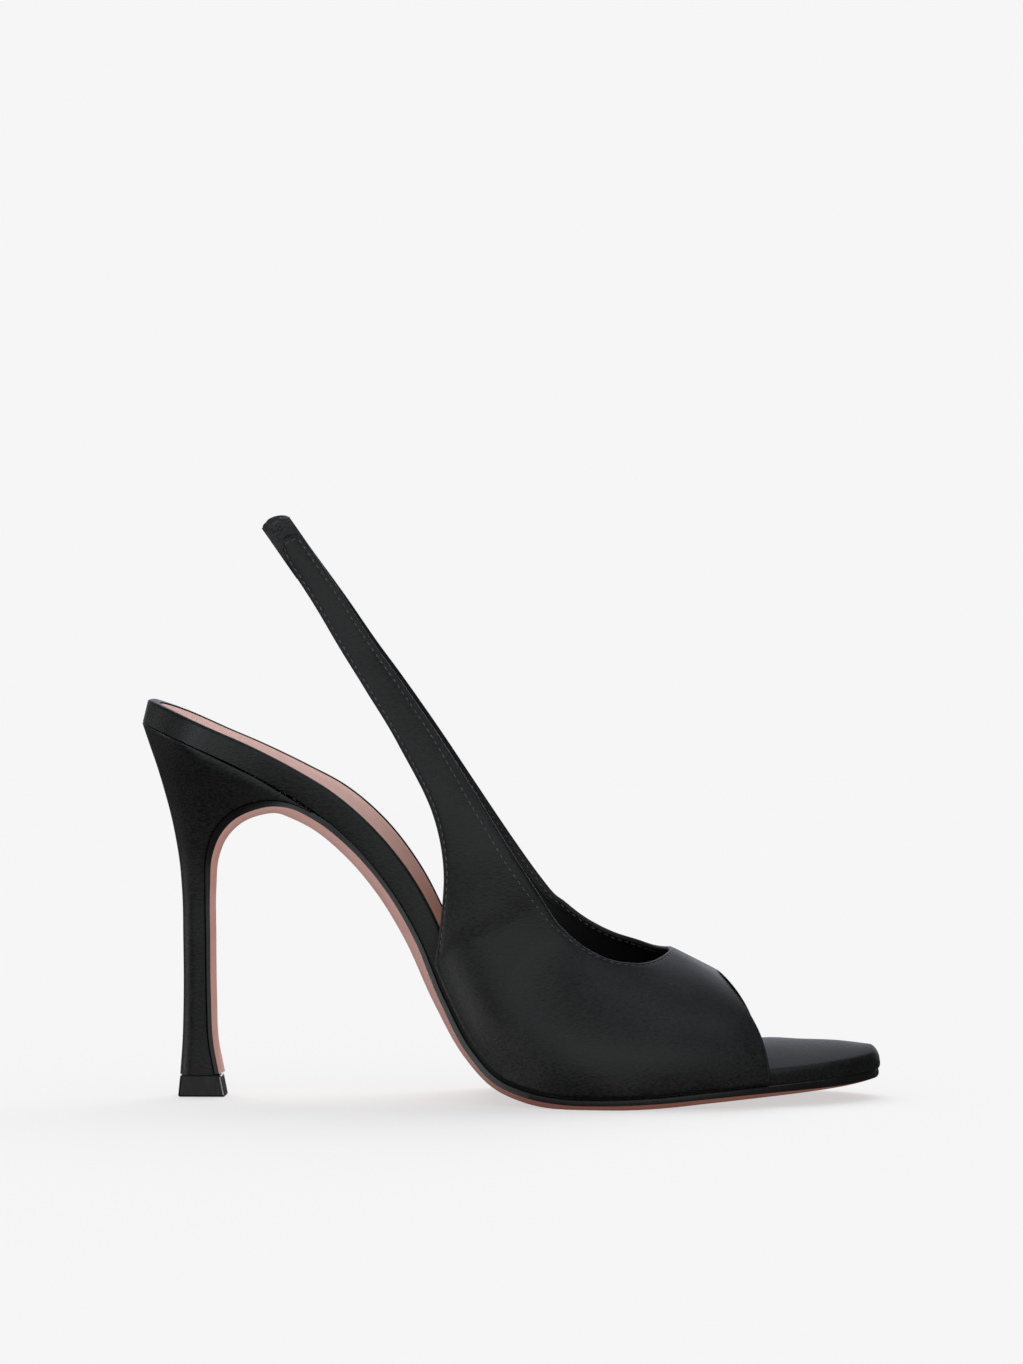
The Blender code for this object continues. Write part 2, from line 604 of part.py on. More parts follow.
def make_upper(collection, finish):
    """The vamp with both sling arms: an open surface with a wall of its real thickness."""
    places = upper_places()
    shares = np.linspace(0.0, 1.0, RIB_STEPS + 1)
    points = [rib(v) for rib in map(upper_rib, places) for v in shares]
    row = len(shares)
    faces = []
    for i in range(len(places) - 1):
        for j in range(RIB_STEPS):
            a = i * row + j
            faces.append((a, a + row, a + row + 1, a + 1))
    upper = new_object("upper", points, faces, collection, finish)
    turn_outwards(upper)
    wall = upper.modifiers.new("wall", "SOLIDIFY")
    wall.thickness = WALL * MM
    wall.offset = -1.0
    return upper


def turn_outwards(item):
    """Turn the faces of an open surface so that the vamp's middle faces up."""
    middle = max(item.data.polygons, key=lambda face: face.center.x - abs(face.center.y))
    if middle.normal.z < 0:
        item.data.flip_normals()


def inside_arm(u):
    """Middle of the elastic on the inner face of an arm, and the way across the arm."""
    start, end, out, _ = rib_frame(u)
    width = (end - start) / np.linalg.norm(end - start)
    return (start + end) / 2 - out * (WALL + ELASTIC_GAP + ELASTIC / 2), width


def elastic_sections():
    """Middle, way across and share of the loop (0 to 1) for each section of the elastic."""
    near = [inside_arm(u) + (0.0,) for u in ELASTIC_LAP]
    far = [inside_arm(INNER_END - u) + (0.0,) for u in ELASTIC_LAP[::-1]]
    start, start_width, _ = near[-1]
    end, end_width, _ = far[0]
    way = rib_frame(INNER_END)[3] - rib_frame(0.0)[3]
    way[1] = 0.0
    way /= np.linalg.norm(way)
    loop = []
    for turn in np.linspace(0.0, math.pi, LOOP_STEPS + 1)[1:-1]:
        share = (1.0 - math.cos(turn)) / 2
        middle = start + (end - start) * share + way * ELASTIC_LOOP * math.sin(turn)
        loop.append((middle, start_width + (end_width - start_width) * share, math.sin(turn)))
    return near + loop + far, way


def make_elastic(collection, finish):
    """The ribbed elastic: a band behind one arm's end, round the loop and behind the other."""
    sections, way = elastic_sections()
    middles = [section[0] for section in sections]
    rings = []
    for i, (middle, width, share) in enumerate(sections):
        run = middles[min(i + 1, len(middles) - 1)] - middles[max(i - 1, 0)]
        out = np.cross(run, width)
        out *= ELASTIC / 2 / np.linalg.norm(out)
        band = []
        for w in np.linspace(-1.0, 1.0, FLAT_POINTS):
            swell = ELASTIC_CROWN * (1.0 - w * w) - ELASTIC_SKEW * (1.0 - w) / 2
            band.append(middle + width * w * ELASTIC_WIDTH / 2 + way * share * swell)
        rings.append(np.array([p - out for p in band] + [p + out for p in band[::-1]]))
    return loft("back_elastic", rings, collection, finish)


def make_finish(piece, kind):
    """A piece's own Principled material, with the colour and roughness of its kind."""
    colour, roughness = FINISH[kind]
    material = bpy.data.materials.new(f"{piece}_{kind}")
    material.use_nodes = True
    shader = material.node_tree.nodes["Principled BSDF"]
    shader.inputs["Base Color"].default_value = colour
    shader.inputs["Roughness"].default_value = roughness
    return material


def new_collection(name):
    """A collection in the scene."""
    collection = bpy.data.collections.new(name)
    bpy.context.scene.collection.children.link(collection)
    return collection


def stand_on_origin(pieces, cutters, collection):
    """Hang pieces and cutters on an empty so that the box's bottom centre is the origin."""
    graph = bpy.context.evaluated_depsgraph_get()
    corners = []
    for piece in pieces:
        mesh = piece.evaluated_get(graph).to_mesh()
        corners += [tuple(v.co) for v in mesh.vertices]
        piece.evaluated_get(graph).to_mesh_clear()
    corners = np.array(corners)
    middle = (corners.min(axis=0) + corners.max(axis=0)) / 2
    root = bpy.data.objects.new("shoe_root", None)
    collection.objects.link(root)
    root.location = (-middle[0], -middle[1], 0.0)
    for item in pieces + list(cutters.objects):
        item.parent = root


def main():
    """Build every piece of the shoe."""
    for old in list(bpy.data.objects):
        bpy.data.objects.remove(old, do_unlink=True)
    parts = new_collection(OBJECT_NAME)
    cutters = new_collection("cutters")
    pieces = [
        make_outsole(parts, make_finish("outsole", "sole_leather")),
        make_board(parts, cutters, make_finish("board", "satin")),
        make_sock(parts, make_finish("sock", "pink_leather")),
        make_upper(parts, make_finish("upper", "satin")),
        make_heel(parts, cutters, make_finish("heel", "satin")),
        make_lift(parts, make_finish("lift", "plastic")),
        make_elastic(parts, make_finish("back", "elastic")),
    ]
    stand_on_origin(pieces, cutters, parts)


main()
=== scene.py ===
"""Black satin slingback heel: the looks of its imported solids.

Sizes are in millimetres in the shoe's own frame: the toe points to +X, +Z is up, the outer side of
the foot is at -Y and the floor is z = 0. Meshes are made in metres, in the frame of the solids.
"""

import logging
import math
from dataclasses import dataclass
from enum import Enum
from typing import Callable, NamedTuple, Sequence

import bpy
import numpy as np
from mathutils import Matrix, Vector


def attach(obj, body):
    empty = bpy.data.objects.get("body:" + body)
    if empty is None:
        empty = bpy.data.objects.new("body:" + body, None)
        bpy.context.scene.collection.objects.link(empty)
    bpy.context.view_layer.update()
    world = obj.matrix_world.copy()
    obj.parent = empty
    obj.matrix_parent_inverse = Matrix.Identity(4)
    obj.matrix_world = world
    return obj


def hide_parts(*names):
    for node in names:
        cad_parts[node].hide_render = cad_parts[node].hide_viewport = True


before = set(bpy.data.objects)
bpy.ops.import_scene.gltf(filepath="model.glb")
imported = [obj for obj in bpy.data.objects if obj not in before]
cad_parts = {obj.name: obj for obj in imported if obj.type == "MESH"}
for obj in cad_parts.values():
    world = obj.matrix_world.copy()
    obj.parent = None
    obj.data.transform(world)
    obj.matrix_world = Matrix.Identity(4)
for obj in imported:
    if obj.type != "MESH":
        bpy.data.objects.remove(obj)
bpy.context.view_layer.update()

log = logging.getLogger("slingback")
MM = 0.001
SHIFT = np.array((0.2431, 1.6405, 0.0))     # the shoe's own frame to the frame of the solids
BODY = "root"
TINY = 0.01         # least length or share that another is divided by
FAR_END = 6.0       # place of the inner arm's end along the upper
EVEN = (1.0, 1.0, 1.0)
WHITE = (1.0, 1.0, 1.0)
COOL = (0.9, 0.94, 1.12)

Row = tuple[float, ...]
Colour = tuple[float, float, float]
Span = tuple[float, float, float, float]
Spread = Callable[[float], float]
Piece = bpy.types.Object
Tree = bpy.types.NodeTree
Socket = bpy.types.NodeSocket
Node = bpy.types.Node


class Side(Enum):
    """The two sides of the foot, by the sign of y."""

    OUTER = -1.0
    INNER = 1.0


class Texture(Enum):
    """The surface effects, each a shader node group."""

    FLOATS = "satin_floats"
    GRAIN = "leather_grain"
    RIBS = "knit_ribs"
    POLISH = "polish_marks"


def smooth_step(share: np.ndarray) -> np.ndarray:
    """A soft rise from 0 to 1."""
    share = np.clip(share, 0.0, 1.0)
    return share * share * (3.0 - 2.0 * share)


def pulse(place: np.ndarray, span: Span) -> np.ndarray:
    """A soft rise from the span's first value to its second, and a fall from its third to its last."""
    start, full, fall, end = span
    return smooth_step((place - start) / (full - start)) * smooth_step((end - place) / (end - fall))


def opened(distance: float, length: float, point: float) -> float:
    """How far an oval end has opened.

    Args:
        distance: distance from the oval's tip.
        length: length over which it opens.
        point: 2 for an ellipse, less for a more pointed tip.

    Returns:
        The share of the full breadth, 0 to 1.
    """
    left = 1.0 - min(max(distance, 0.0) / length, 1.0)
    return (1.0 - left ** point) ** (1.0 / point)


def spread(middle: float, outer: float, inner: float) -> Spread:
    """A function from -1 (outer) to 1 (inner) to y, for unlike half breadths."""
    return lambda f: middle + f * (inner if f > 0 else outer)


def run_along(points: np.ndarray) -> np.ndarray:
    """Distance of each point from the first one, along the line through them."""
    return np.concatenate(([0.0], np.cumsum(np.linalg.norm(np.diff(points, axis=0), axis=1))))


def read_line(places: np.ndarray, run: np.ndarray, points: np.ndarray) -> np.ndarray:
    """The points of a line, or other triples along it, at given distances."""
    return np.stack([np.interp(places, run, points[:, i]) for i in range(3)], axis=-1)


def refine(values: np.ndarray, steps: int) -> np.ndarray:
    """Each interval between neighbouring values, split into equal steps."""
    index = np.arange(len(values))
    return np.interp(np.linspace(0, len(values) - 1, (len(values) - 1) * steps + 1), index, values)


class Table:
    """Rows with named columns, read smoothly by their first column."""

    def __init__(self, columns: str, rows: Sequence[Row]) -> None:
        """Take the rows and their columns' names."""
        values = np.array(rows, dtype=float)
        self.columns = {name: values[:, i] for i, name in enumerate(columns.split())}
        self.set_knots(values[:, 0])

    def set_knots(self, knots: np.ndarray) -> None:
        """Say where along the table each row lies."""
        self.knots = knots
        self.slopes = {name: np.gradient(c, knots) for name, c in self.columns.items()}

    def at(self, column: str, place: float) -> float:
        """One column at a place.

        Args:
            column: the column's name.
            place: where along the table, in the units of its knots.

        Returns:
            The column's value on a smooth curve through its rows.
        """
        knots, values, slopes = self.knots, self.columns[column], self.slopes[column]
        low = np.clip(np.searchsorted(knots, place) - 1, 0, len(knots) - 2)
        span = knots[low + 1] - knots[low]
        f = (place - knots[low]) / span
        start = (1 + 2 * f) * (1 - f) ** 2 * values[low] + f * (1 - f) ** 2 * span * slopes[low]
        end = f * f * (3 - 2 * f) * values[low + 1] + f * f * (f - 1) * span * slopes[low + 1]
        return start + end


class Path(Table):
    """A table whose rows lie on a line in the XZ plane, read by the distance along it."""

    REACH = 0.2

    def __init__(self, columns: str, rows: Sequence[Row]) -> None:
        """Take the rows and measure the line."""
        super().__init__(columns, rows)
        steps = np.hypot(np.diff(self.columns["x"]), np.diff(self.columns["z"]))
        self.set_knots(np.concatenate(([0.0], np.cumsum(steps))))
        self.length = float(self.knots[-1])

    def frame_at(self, s: float) -> tuple[np.ndarray, np.ndarray]:
        """Point on the line, x and z, and the unit normal on the foot's side."""
        ahead = min(s + self.REACH, self.length)
        behind = max(s - self.REACH, 0.0)
        run = self.at("x", ahead) - self.at("x", behind)
        rise = self.at("z", ahead) - self.at("z", behind)
        normal = np.array((rise, -run)) / math.hypot(run, rise)
        return np.array((self.at("x", s), self.at("z", s))), normal

    def place(self, s: float, points: Sequence[tuple[float, float]]) -> np.ndarray:
        """Set a section square to the line.

        Args:
            s: distance along the line.
            points: y and height above the line, for each point.

        Returns:
            The points in space.
        """
        base, normal = self.frame_at(s)
        return np.array([(base[0] + n * normal[0], y, base[1] + n * normal[1]) for y, n in points])

    def distance_at_x(self, x: float) -> float:
        """Distance along the line where it passes x, on a line whose x only falls."""
        return float(np.interp(-x, -self.columns["x"], self.knots))


@dataclass
class Last:
    """The form that the shoe is built on: its foot line, its breast line and their breadths.

    In foot_rows, swing moves the middle to the inner side, outer and inner are half breadths of the
    board, board is its side wall, rise how much higher that is on the inner side, crown its dome,
    welt how far the outsole stands out, edge the height of its painted edge, belly its depth below
    that edge and full how flat that belly is across. In breast_rows, half, edge and belly are the
    outsole's, and back_x, back_z and heel_half are the heel's back and half breadth at the same row.
    bed_end says how far before the heel's end the sock's bed is at its full depth, and where it ends.
    leave_drop lowers the outsole where it leaves the board, after shared_rows, and end_lean leans the
    board back over its last end_reach.
    """

    gap: float = 0.3
    toe_round: float = 76.0
    toe_point: float = 1.85
    heel_round: float = 20.0
    leave_drop: float = 0.4
    end_lean: float = 0.17
    end_reach: float = 12.0
    shared_rows: int = 16
    crown_power: float = 2.0
    bed_front_x: float = 39.0
    bed_end: tuple[float, float] = (3.0, 2.75)
    tip_steps: tuple[float, ...] = (0.08, 0.3, 0.7, 1.2, 1.8, 2.6, 3.6, 4.8, 6.2)
    heel_steps: int = 14
    end_step: float = 0.04
    least_half: float = 0.02
    least_cover: tuple[float, float] = (0.5, 0.03)
    foot_rows: tuple[Row, ...] = (
        (100.95, 8.2, 3.0, 39.4, 36.0, 4.0, 0.0, 2.0, 0.0, 2.1, 0.0, 12.0),
        (91.0, 6.9, 2.6, 39.4, 36.0, 4.3, 0.0, 4.1, 0.5, 1.9, 0.4, 40.0),
        (80.0, 6.2, 2.1, 39.4, 36.0, 4.0, 0.0, 5.5, 0.8, 1.8, 0.8, 60.0),
        (69.0, 5.5, 1.5, 39.4, 36.0, 3.9, 0.0, 6.6, 1.4, 1.6, 1.1, 80.0),
        (54.0, 4.3, 0.8, 39.4, 36.0, 3.9, 0.0, 4.0, 1.9, 1.4, 1.3, 80.0),
        (40.0, 3.1, 0.2, 39.4, 35.6, 4.0, 0.0, 1.0, 1.9, 1.3, 1.4, 80.0),
        (26.0, 2.6, 0.0, 39.4, 35.2, 4.0, 0.0, 0.5, 1.9, 1.3, 1.4, 80.0),
        (14.0, 2.8, 0.0, 37.0, 33.4, 4.0, 0.0, 0.4, 1.9, 1.3, 1.6, 50.0),
        (5.0, 4.3, 0.0, 33.4, 30.6, 4.2, 0.0, 0.3, 1.9, 1.35, 1.85, 20.0),
        (-2.5, 7.3, 0.0, 30.0, 28.0, 4.4, 0.1, 0.2, 1.9, 1.35, 2.05, 8.0),
        (-9.7, 14.7, 0.0, 26.8, 25.4, 4.8, 0.1, 0.1, 1.9, 1.3, 2.4, 4.0),
        (-17.1, 28.1, 0.0, 24.0, 22.8, 5.3, 0.2, 0.0, 1.6, 1.2, 3.1, 2.4),
        (-24.9, 46.0, 0.0, 22.0, 21.0, 6.3, 0.5, 0.0, 0.8, 1.15, 3.75, 2.2),
        (-32.6, 58.5, 0.0, 21.0, 20.2, 6.8, 1.2, 0.0, 0.6, 1.1, 3.8, 2.2),
        (-42.0, 69.5, 0.0, 20.8, 20.2, 7.0, 1.75, 0.0, 0.5, 1.2, 3.7, 2.2),
        (-52.0, 77.9, 0.0, 21.4, 21.0, 7.2, 1.5, 0.0, 0.4, 1.25, 3.55, 2.2),
        (-60.5, 83.4, 0.0, 22.2, 22.0, 7.0, 0.75, 0.0, 0.4, 1.3, 3.5, 2.2),
        (-72.5, 90.0, 0.0, 22.8, 22.8, 6.7, 0.25, 0.0, 0.4, 1.3, 3.4, 2.2),
        (-83.5, 95.1, 0.0, 22.8, 22.8, 6.45, 0.15, 0.0, 0.4, 1.3, 3.2, 2.2),
        (-92.0, 98.8, 0.0, 22.8, 22.8, 6.55, 0.3, 0.0, 0.4, 1.3, 3.2, 2.2),
        (-100.9, 102.4, 0.0, 22.8, 22.8, 6.9, 0.4, 0.0, 0.4, 1.3, 3.2, 2.2),
    )
    breast_rows: tuple[Row, ...] = (
        (-58.5, 80.5, 21.6, 1.2, 3.4, -100.85, 101.5, 22.9),
        (-63.5, 81.4, 20.4, 1.5, 2.4, -99.15, 96.4, 22.0),
        (-70.0, 80.5, 17.4, 1.9, 1.8, -97.3, 91.0, 19.4),
        (-76.2, 77.6, 13.0, 2.0, 1.5, -95.2, 84.0, 15.0),
        (-80.9, 72.6, 9.0, 2.0, 1.3, -93.0, 75.5, 10.6),
        (-83.1, 66.4, 6.2, 1.6, 1.3, -91.3, 66.4, 7.2),
        (-83.5, 57.0, 4.9, 1.2, 1.2, -90.3, 56.0, 5.3),
        (-83.35, 44.0, 4.5, 1.05, 1.2, -90.0, 43.0, 4.7),
        (-83.15, 27.0, 4.4, 1.05, 1.2, -89.9, 27.0, 4.5),
        (-82.6, 15.0, 4.5, 1.1, 1.1, -90.2, 15.0, 4.6),
        (-81.0, 6.2, 4.7, 1.1, 1.2, -90.8, 6.3, 4.8),
    )

    def __post_init__(self) -> None:
        """Measure the lines."""
        columns = "x z swing outer inner board rise crown welt edge belly full"
        self.foot = Path(columns, self.foot_rows)
        self.breast = Path("x z half edge belly back_x back_z heel_half", self.breast_rows)
        self.sole = self.sole_path()

    def sole_path(self) -> Path:
        """The outsole's line: the foot line to the waist, then the breast line."""
        rows = []
        for row in self.foot_rows[:self.shared_rows]:
            x, z, swing, outer, inner, _, _, _, welt, edge, belly, full = row
            rows.append((x, z, swing, belly, full, outer + welt, inner + welt, edge))
        rows[-1] = (rows[-1][0], rows[-1][1] - self.leave_drop) + rows[-1][2:]
        swing, full = rows[-1][2], rows[-1][4]
        for x, z, half, edge, belly, _, _, _ in self.breast_rows:
            rows.append((x, z, swing, belly, full, half, half, edge))
        return Path("x z swing belly full outer inner edge", rows)

    def half(self, side: Side, s: float) -> float:
        """Half breadth of the board on one side."""
        toe = opened(s, self.toe_round, self.toe_point)
        heel = opened(self.foot.length - s, self.heel_round, 2.0)
        return self.foot.at("outer" if side is Side.OUTER else "inner", s) * toe * heel

    def across(self, s: float) -> Spread:
        """The board's spread at s."""
        outer, inner = (max(self.half(side, s), self.least_half) for side in Side)
        return spread(self.foot.at("swing", s), outer, inner)

    def top(self, s: float, f: float) -> float:
        """Height of the board's top above the foot line, at the share f across."""
        dome = self.foot.at("crown", s) * (1.0 - abs(f) ** self.crown_power)
        return self.foot.at("board", s) + self.foot.at("rise", s) * (1.0 + f) / 2 + dome

    def stations(self, count: int) -> list[float]:
        """Distances of sections, close at the toe's tip and round the heel's end."""
        length = self.foot.length
        body = np.linspace(self.tip_steps[-1], length - self.heel_round, count)
        turn = np.linspace(math.pi / 2, 0.0, self.heel_steps)[1:-1]
        heel = list(length - self.heel_round * (1.0 - np.cos(turn)))
        heel += [length - distance for distance in self.bed_end]
        return list(self.tip_steps[:-1]) + list(body) + sorted(heel) + [length - self.end_step]

    def within(self, s: float, inset: float, end: float) -> float:
        """How far across something reaches that is laid on the board.

        Args:
            s: distance from the toe's tip.
            inset: how far it stays inside the board's sides.
            end: how far its rounded end stays before the board's heel end.

        Returns:
            Its share of the board's half breadth.
        """
        left = self.foot.length - s
        least_side, least = self.least_cover
        heel = max(opened(left, self.heel_round, 2.0), TINY)
        kept = opened(left - end, self.heel_round - end, 2.0)
        side = max(1.0 - inset * heel / max(self.half(Side.INNER, s), TINY), least_side)
        return max(side * kept / heel, least)

    def bed_share(self, s: float) -> float:
        """How much of its full depth the sock's bed has at s, 0 or 1 but for its short end walls."""
        front = self.foot.distance_at_x(self.bed_front_x)
        full, none = self.bed_end
        left = self.foot.length - s
        return float(np.clip(s - front, 0.0, 1.0) * np.clip((left - none) / (full - none), 0.0, 1.0))

    def place(self, s: float, ring: Sequence[tuple[float, float]]) -> np.ndarray:
        """Set a section of board or sock square to the foot line, leaning back at the heel's end."""
        share = max(0.0, 1.0 - (self.foot.length - s) / self.end_reach)
        placed = self.foot.place(s, ring)
        placed[:, 0] -= self.end_lean * share ** 2 * np.array([height for _, height in ring])
        return placed


class Bench:
    """Blender's modelling operators, as every piece uses them."""

    SMOOTH_ANGLE = math.radians(38)
    WELD = 1e-6

    @staticmethod
    def clear() -> None:
        """Leave nothing selected."""
        if bpy.context.object and bpy.context.object.mode != "OBJECT":
            bpy.ops.object.mode_set(mode="OBJECT")
        bpy.ops.object.select_all(action="DESELECT")

    @classmethod
    def loft(cls, name: str, rings: np.ndarray, slots: np.ndarray | None = None) -> Piece:
        """Lay a grid on rings of points, close it round and cap its ends.

        Args:
            name: the piece's name.
            rings: millimetres, by ring, point round the ring and axis.
            slots: material slot of each strip of faces between a point and the next, or of each face
                by ring and strip.

        Returns:
            The piece, a closed body with its faces outwards.
        """
        cls.clear()
        rows, around = rings.shape[0], rings.shape[1]
        bpy.ops.mesh.primitive_grid_add(x_subdivisions=around, y_subdivisions=rows - 1, size=1.0)
        piece = bpy.context.object
        piece.name = piece.data.name = name
        mesh = piece.data
        flat = np.empty(len(mesh.vertices) * 3)
        mesh.vertices.foreach_get("co", flat)
        flat = flat.reshape(-1, 3)
        column = np.rint((flat[:, 0] + 0.5) * around).astype(int) % around
        ring = np.rint((flat[:, 1] + 0.5) * (rows - 1)).astype(int)
        if slots is not None:
            centres = np.array([face.center for face in mesh.polygons])
            strip = np.floor((centres[:, 0] + 0.5) * around).astype(int)
            row = np.floor((centres[:, 1] + 0.5) * (rows - 1)).astype(int)
            chosen = np.broadcast_to(slots, (rows - 1, around))[row, strip]
            mesh.polygons.foreach_set("material_index", chosen.astype(np.int32))
        placed = (rings[ring, column] + SHIFT) * MM
        mesh.vertices.foreach_set("co", placed.ravel())
        mesh.update()
        bpy.ops.object.mode_set(mode="EDIT")
        bpy.ops.mesh.select_all(action="SELECT")
        bpy.ops.mesh.remove_doubles(threshold=cls.WELD)
        bpy.ops.mesh.select_all(action="SELECT")
        bpy.ops.mesh.fill_holes(sides=0)
        bpy.ops.mesh.select_all(action="SELECT")
        bpy.ops.mesh.normals_make_consistent(inside=False)
        bpy.ops.object.mode_set(mode="OBJECT")
        bpy.ops.object.shade_smooth_by_angle(angle=cls.SMOOTH_ANGLE)
        return piece

    @classmethod
    def settle(cls, piece: Piece) -> None:
        """Put a piece's place into its mesh."""
        cls.clear()
        bpy.context.view_layer.objects.active = piece
        piece.select_set(True)
        bpy.ops.object.transform_apply(location=True, rotation=True, scale=True)

    @staticmethod
    def dress(piece: Piece, finishes: Sequence["Finish"], slot: str, replaces: Sequence[str] = ()) -> Piece:
        """Give a piece its materials and its body.

        Args:
            piece: the finished mesh.
            finishes: one for each material slot of the mesh.
            slot: not used.
            replaces: the solids that the piece stands for.

        Returns:
            The same piece.
        """
        for finish in finishes:
            piece.data.materials.append(finish.material())
        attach(piece, BODY)
        if replaces:
            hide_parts(*replaces)
        log.info("%s: %d faces", piece.name, len(piece.data.polygons))
        return piece


class Effects:
    """The shader node groups that the finishes share."""

    @staticmethod
    def start(texture: Texture) -> tuple[Tree, Node, Node]:
        """An empty group with a place and a size going in, a height and a tone coming out."""
        group = bpy.data.node_groups.new(texture.value, "ShaderNodeTree")
        group.interface.new_socket("Vector", in_out="INPUT", socket_type="NodeSocketVector")
        group.interface.new_socket("Size", in_out="INPUT", socket_type="NodeSocketFloat")
        group.interface.new_socket("Height", in_out="OUTPUT", socket_type="NodeSocketFloat")
        group.interface.new_socket("Tone", in_out="OUTPUT", socket_type="NodeSocketFloat")
        return group, group.nodes.new("NodeGroupInput"), group.nodes.new("NodeGroupOutput")

    @staticmethod
    def fill(tree: Tree, node: Node, values: dict[str, object]) -> Node:
        """Give some of a node's inputs or settings.

        Args:
            tree: the tree it is in.
            node: the node.
            values: values by socket or setting name, and sockets to link from.

        Returns:
            The same node.
        """
        for name, value in values.items():
            if name not in node.inputs:
                setattr(node, name, value)
            elif isinstance(value, Socket):
                tree.links.new(value, node.inputs[name])
            else:
                node.inputs[name].default_value = value
        return node

    @classmethod
    def add(cls, tree: Tree, kind: str, values: dict[str, object]) -> Node:
        """A new node with some of its inputs or settings given."""
        return cls.fill(tree, tree.nodes.new(kind), values)

    @classmethod
    def mix(cls, tree: Tree, share: Socket, first: Colour | Socket, second: Colour,
            blend: str = "MIX") -> Socket:
        """Two colours mixed.

        Args:
            tree: the tree it goes into.
            share: how much of the second one.
            first: a colour, or the socket that it comes from.
            second: the other colour.
            blend: the way of mixing.

        Returns:
            The mixed colour's socket.
        """
        node = cls.add(tree, "ShaderNodeMix", {"data_type": "RGBA", "blend_type": blend, "Factor": share})
        start, end = (socket for socket in node.inputs if socket.type == "RGBA")
        if isinstance(first, Socket):
            tree.links.new(first, start)
        else:
            start.default_value = first + (1.0,)
        end.default_value = second + (1.0,)
        return next(socket for socket in node.outputs if socket.type == "RGBA")

    @classmethod
    def scaled(cls, group: Tree, source: Node, stretch: Row) -> Socket:
        """The place divided by the size, stretched along the axes."""
        shrink = cls.add(group, "ShaderNodeMath", {"operation": "DIVIDE"})
        shrink.inputs[0].default_value = 1.0
        group.links.new(source.outputs["Size"], shrink.inputs[1])
        grow = cls.add(group, "ShaderNodeVectorMath", {"operation": "SCALE", "Scale": shrink.outputs[0]})
        group.links.new(source.outputs["Vector"], grow.inputs[0])
        turn = cls.add(group, "ShaderNodeMapping", {"Vector": grow.outputs[0], "Scale": stretch})
        return turn.outputs[0]

    @classmethod
    def noise(cls, group: Tree, source: Node, stretch: Row, detail: float, scale: float = 1.0) -> Socket:
        """Noise of some detail over the stretched place."""
        values = {"Vector": cls.scaled(group, source, stretch), "Scale": scale, "Detail": detail}
        return cls.add(group, "ShaderNodeTexNoise", values).outputs["Fac"]

    @staticmethod
    def close(group: Tree, out: Node, height: Socket, tone: Socket) -> Tree:
        """Link what comes out of a group, and hand the group back."""
        group.links.new(height, out.inputs["Height"])
        group.links.new(tone, out.inputs["Tone"])
        return group

    @classmethod
    def satin_floats(cls) -> Tree:
        """Short warp floats of satin: fine flecks drawn out along the cloth, over a slow mottle."""
        group, source, out = cls.start(Texture.FLOATS)
        fleck = cls.noise(group, source, (0.45, 1.0, 1.0), detail=1.5)
        mottle = cls.noise(group, source, (0.02, 0.02, 0.02), detail=3.0)
        both = cls.add(group, "ShaderNodeMath", {"operation": "MULTIPLY"})
        group.links.new(fleck, both.inputs[0])
        group.links.new(mottle, both.inputs[1])
        span = {"Value": both.outputs[0], "From Min": 0.12, "From Max": 0.4}
        return cls.close(group, out, fleck, cls.add(group, "ShaderNodeMapRange", span).outputs[0])

    @classmethod
    def leather_grain(cls) -> Tree:
        """Leather: fine pebbles between shallow lines, over a slow mottle."""
        group, source, out = cls.start(Texture.GRAIN)
        values = {"Vector": cls.scaled(group, source, EVEN), "Scale": 1.0, "feature": "SMOOTH_F1"}
        pebble = cls.add(group, "ShaderNodeTexVoronoi", values).outputs["Distance"]
        return cls.close(group, out, pebble, cls.noise(group, source, (0.05, 0.05, 0.05), detail=4.0))

    @classmethod
    def knit_ribs(cls) -> Tree:
        """Elastic: close knitted loops that break up the light."""
        group, source, out = cls.start(Texture.RIBS)
        values = {"Vector": cls.scaled(group, source, EVEN), "Scale": 1.0}
        loops = cls.add(group, "ShaderNodeTexVoronoi", values).outputs["Distance"]
        return cls.close(group, out, loops, cls.noise(group, source, EVEN, detail=2.0, scale=0.6))

    @classmethod
    def polish_marks(cls) -> Tree:
        """Smooth paint or plastic: slow waves and faint rubbed marks."""
        group, source, out = cls.start(Texture.POLISH)
        waves = cls.noise(group, source, (1.0, 1.0, 0.3), detail=2.0)
        return cls.close(group, out, waves, cls.noise(group, source, (4.0, 4.0, 1.0), detail=3.0))

    @classmethod
    def group(cls, texture: Texture) -> Tree:
        """The group of an effect, built the first time it is asked for."""
        return bpy.data.node_groups.get(texture.value) or getattr(cls, texture.value)()


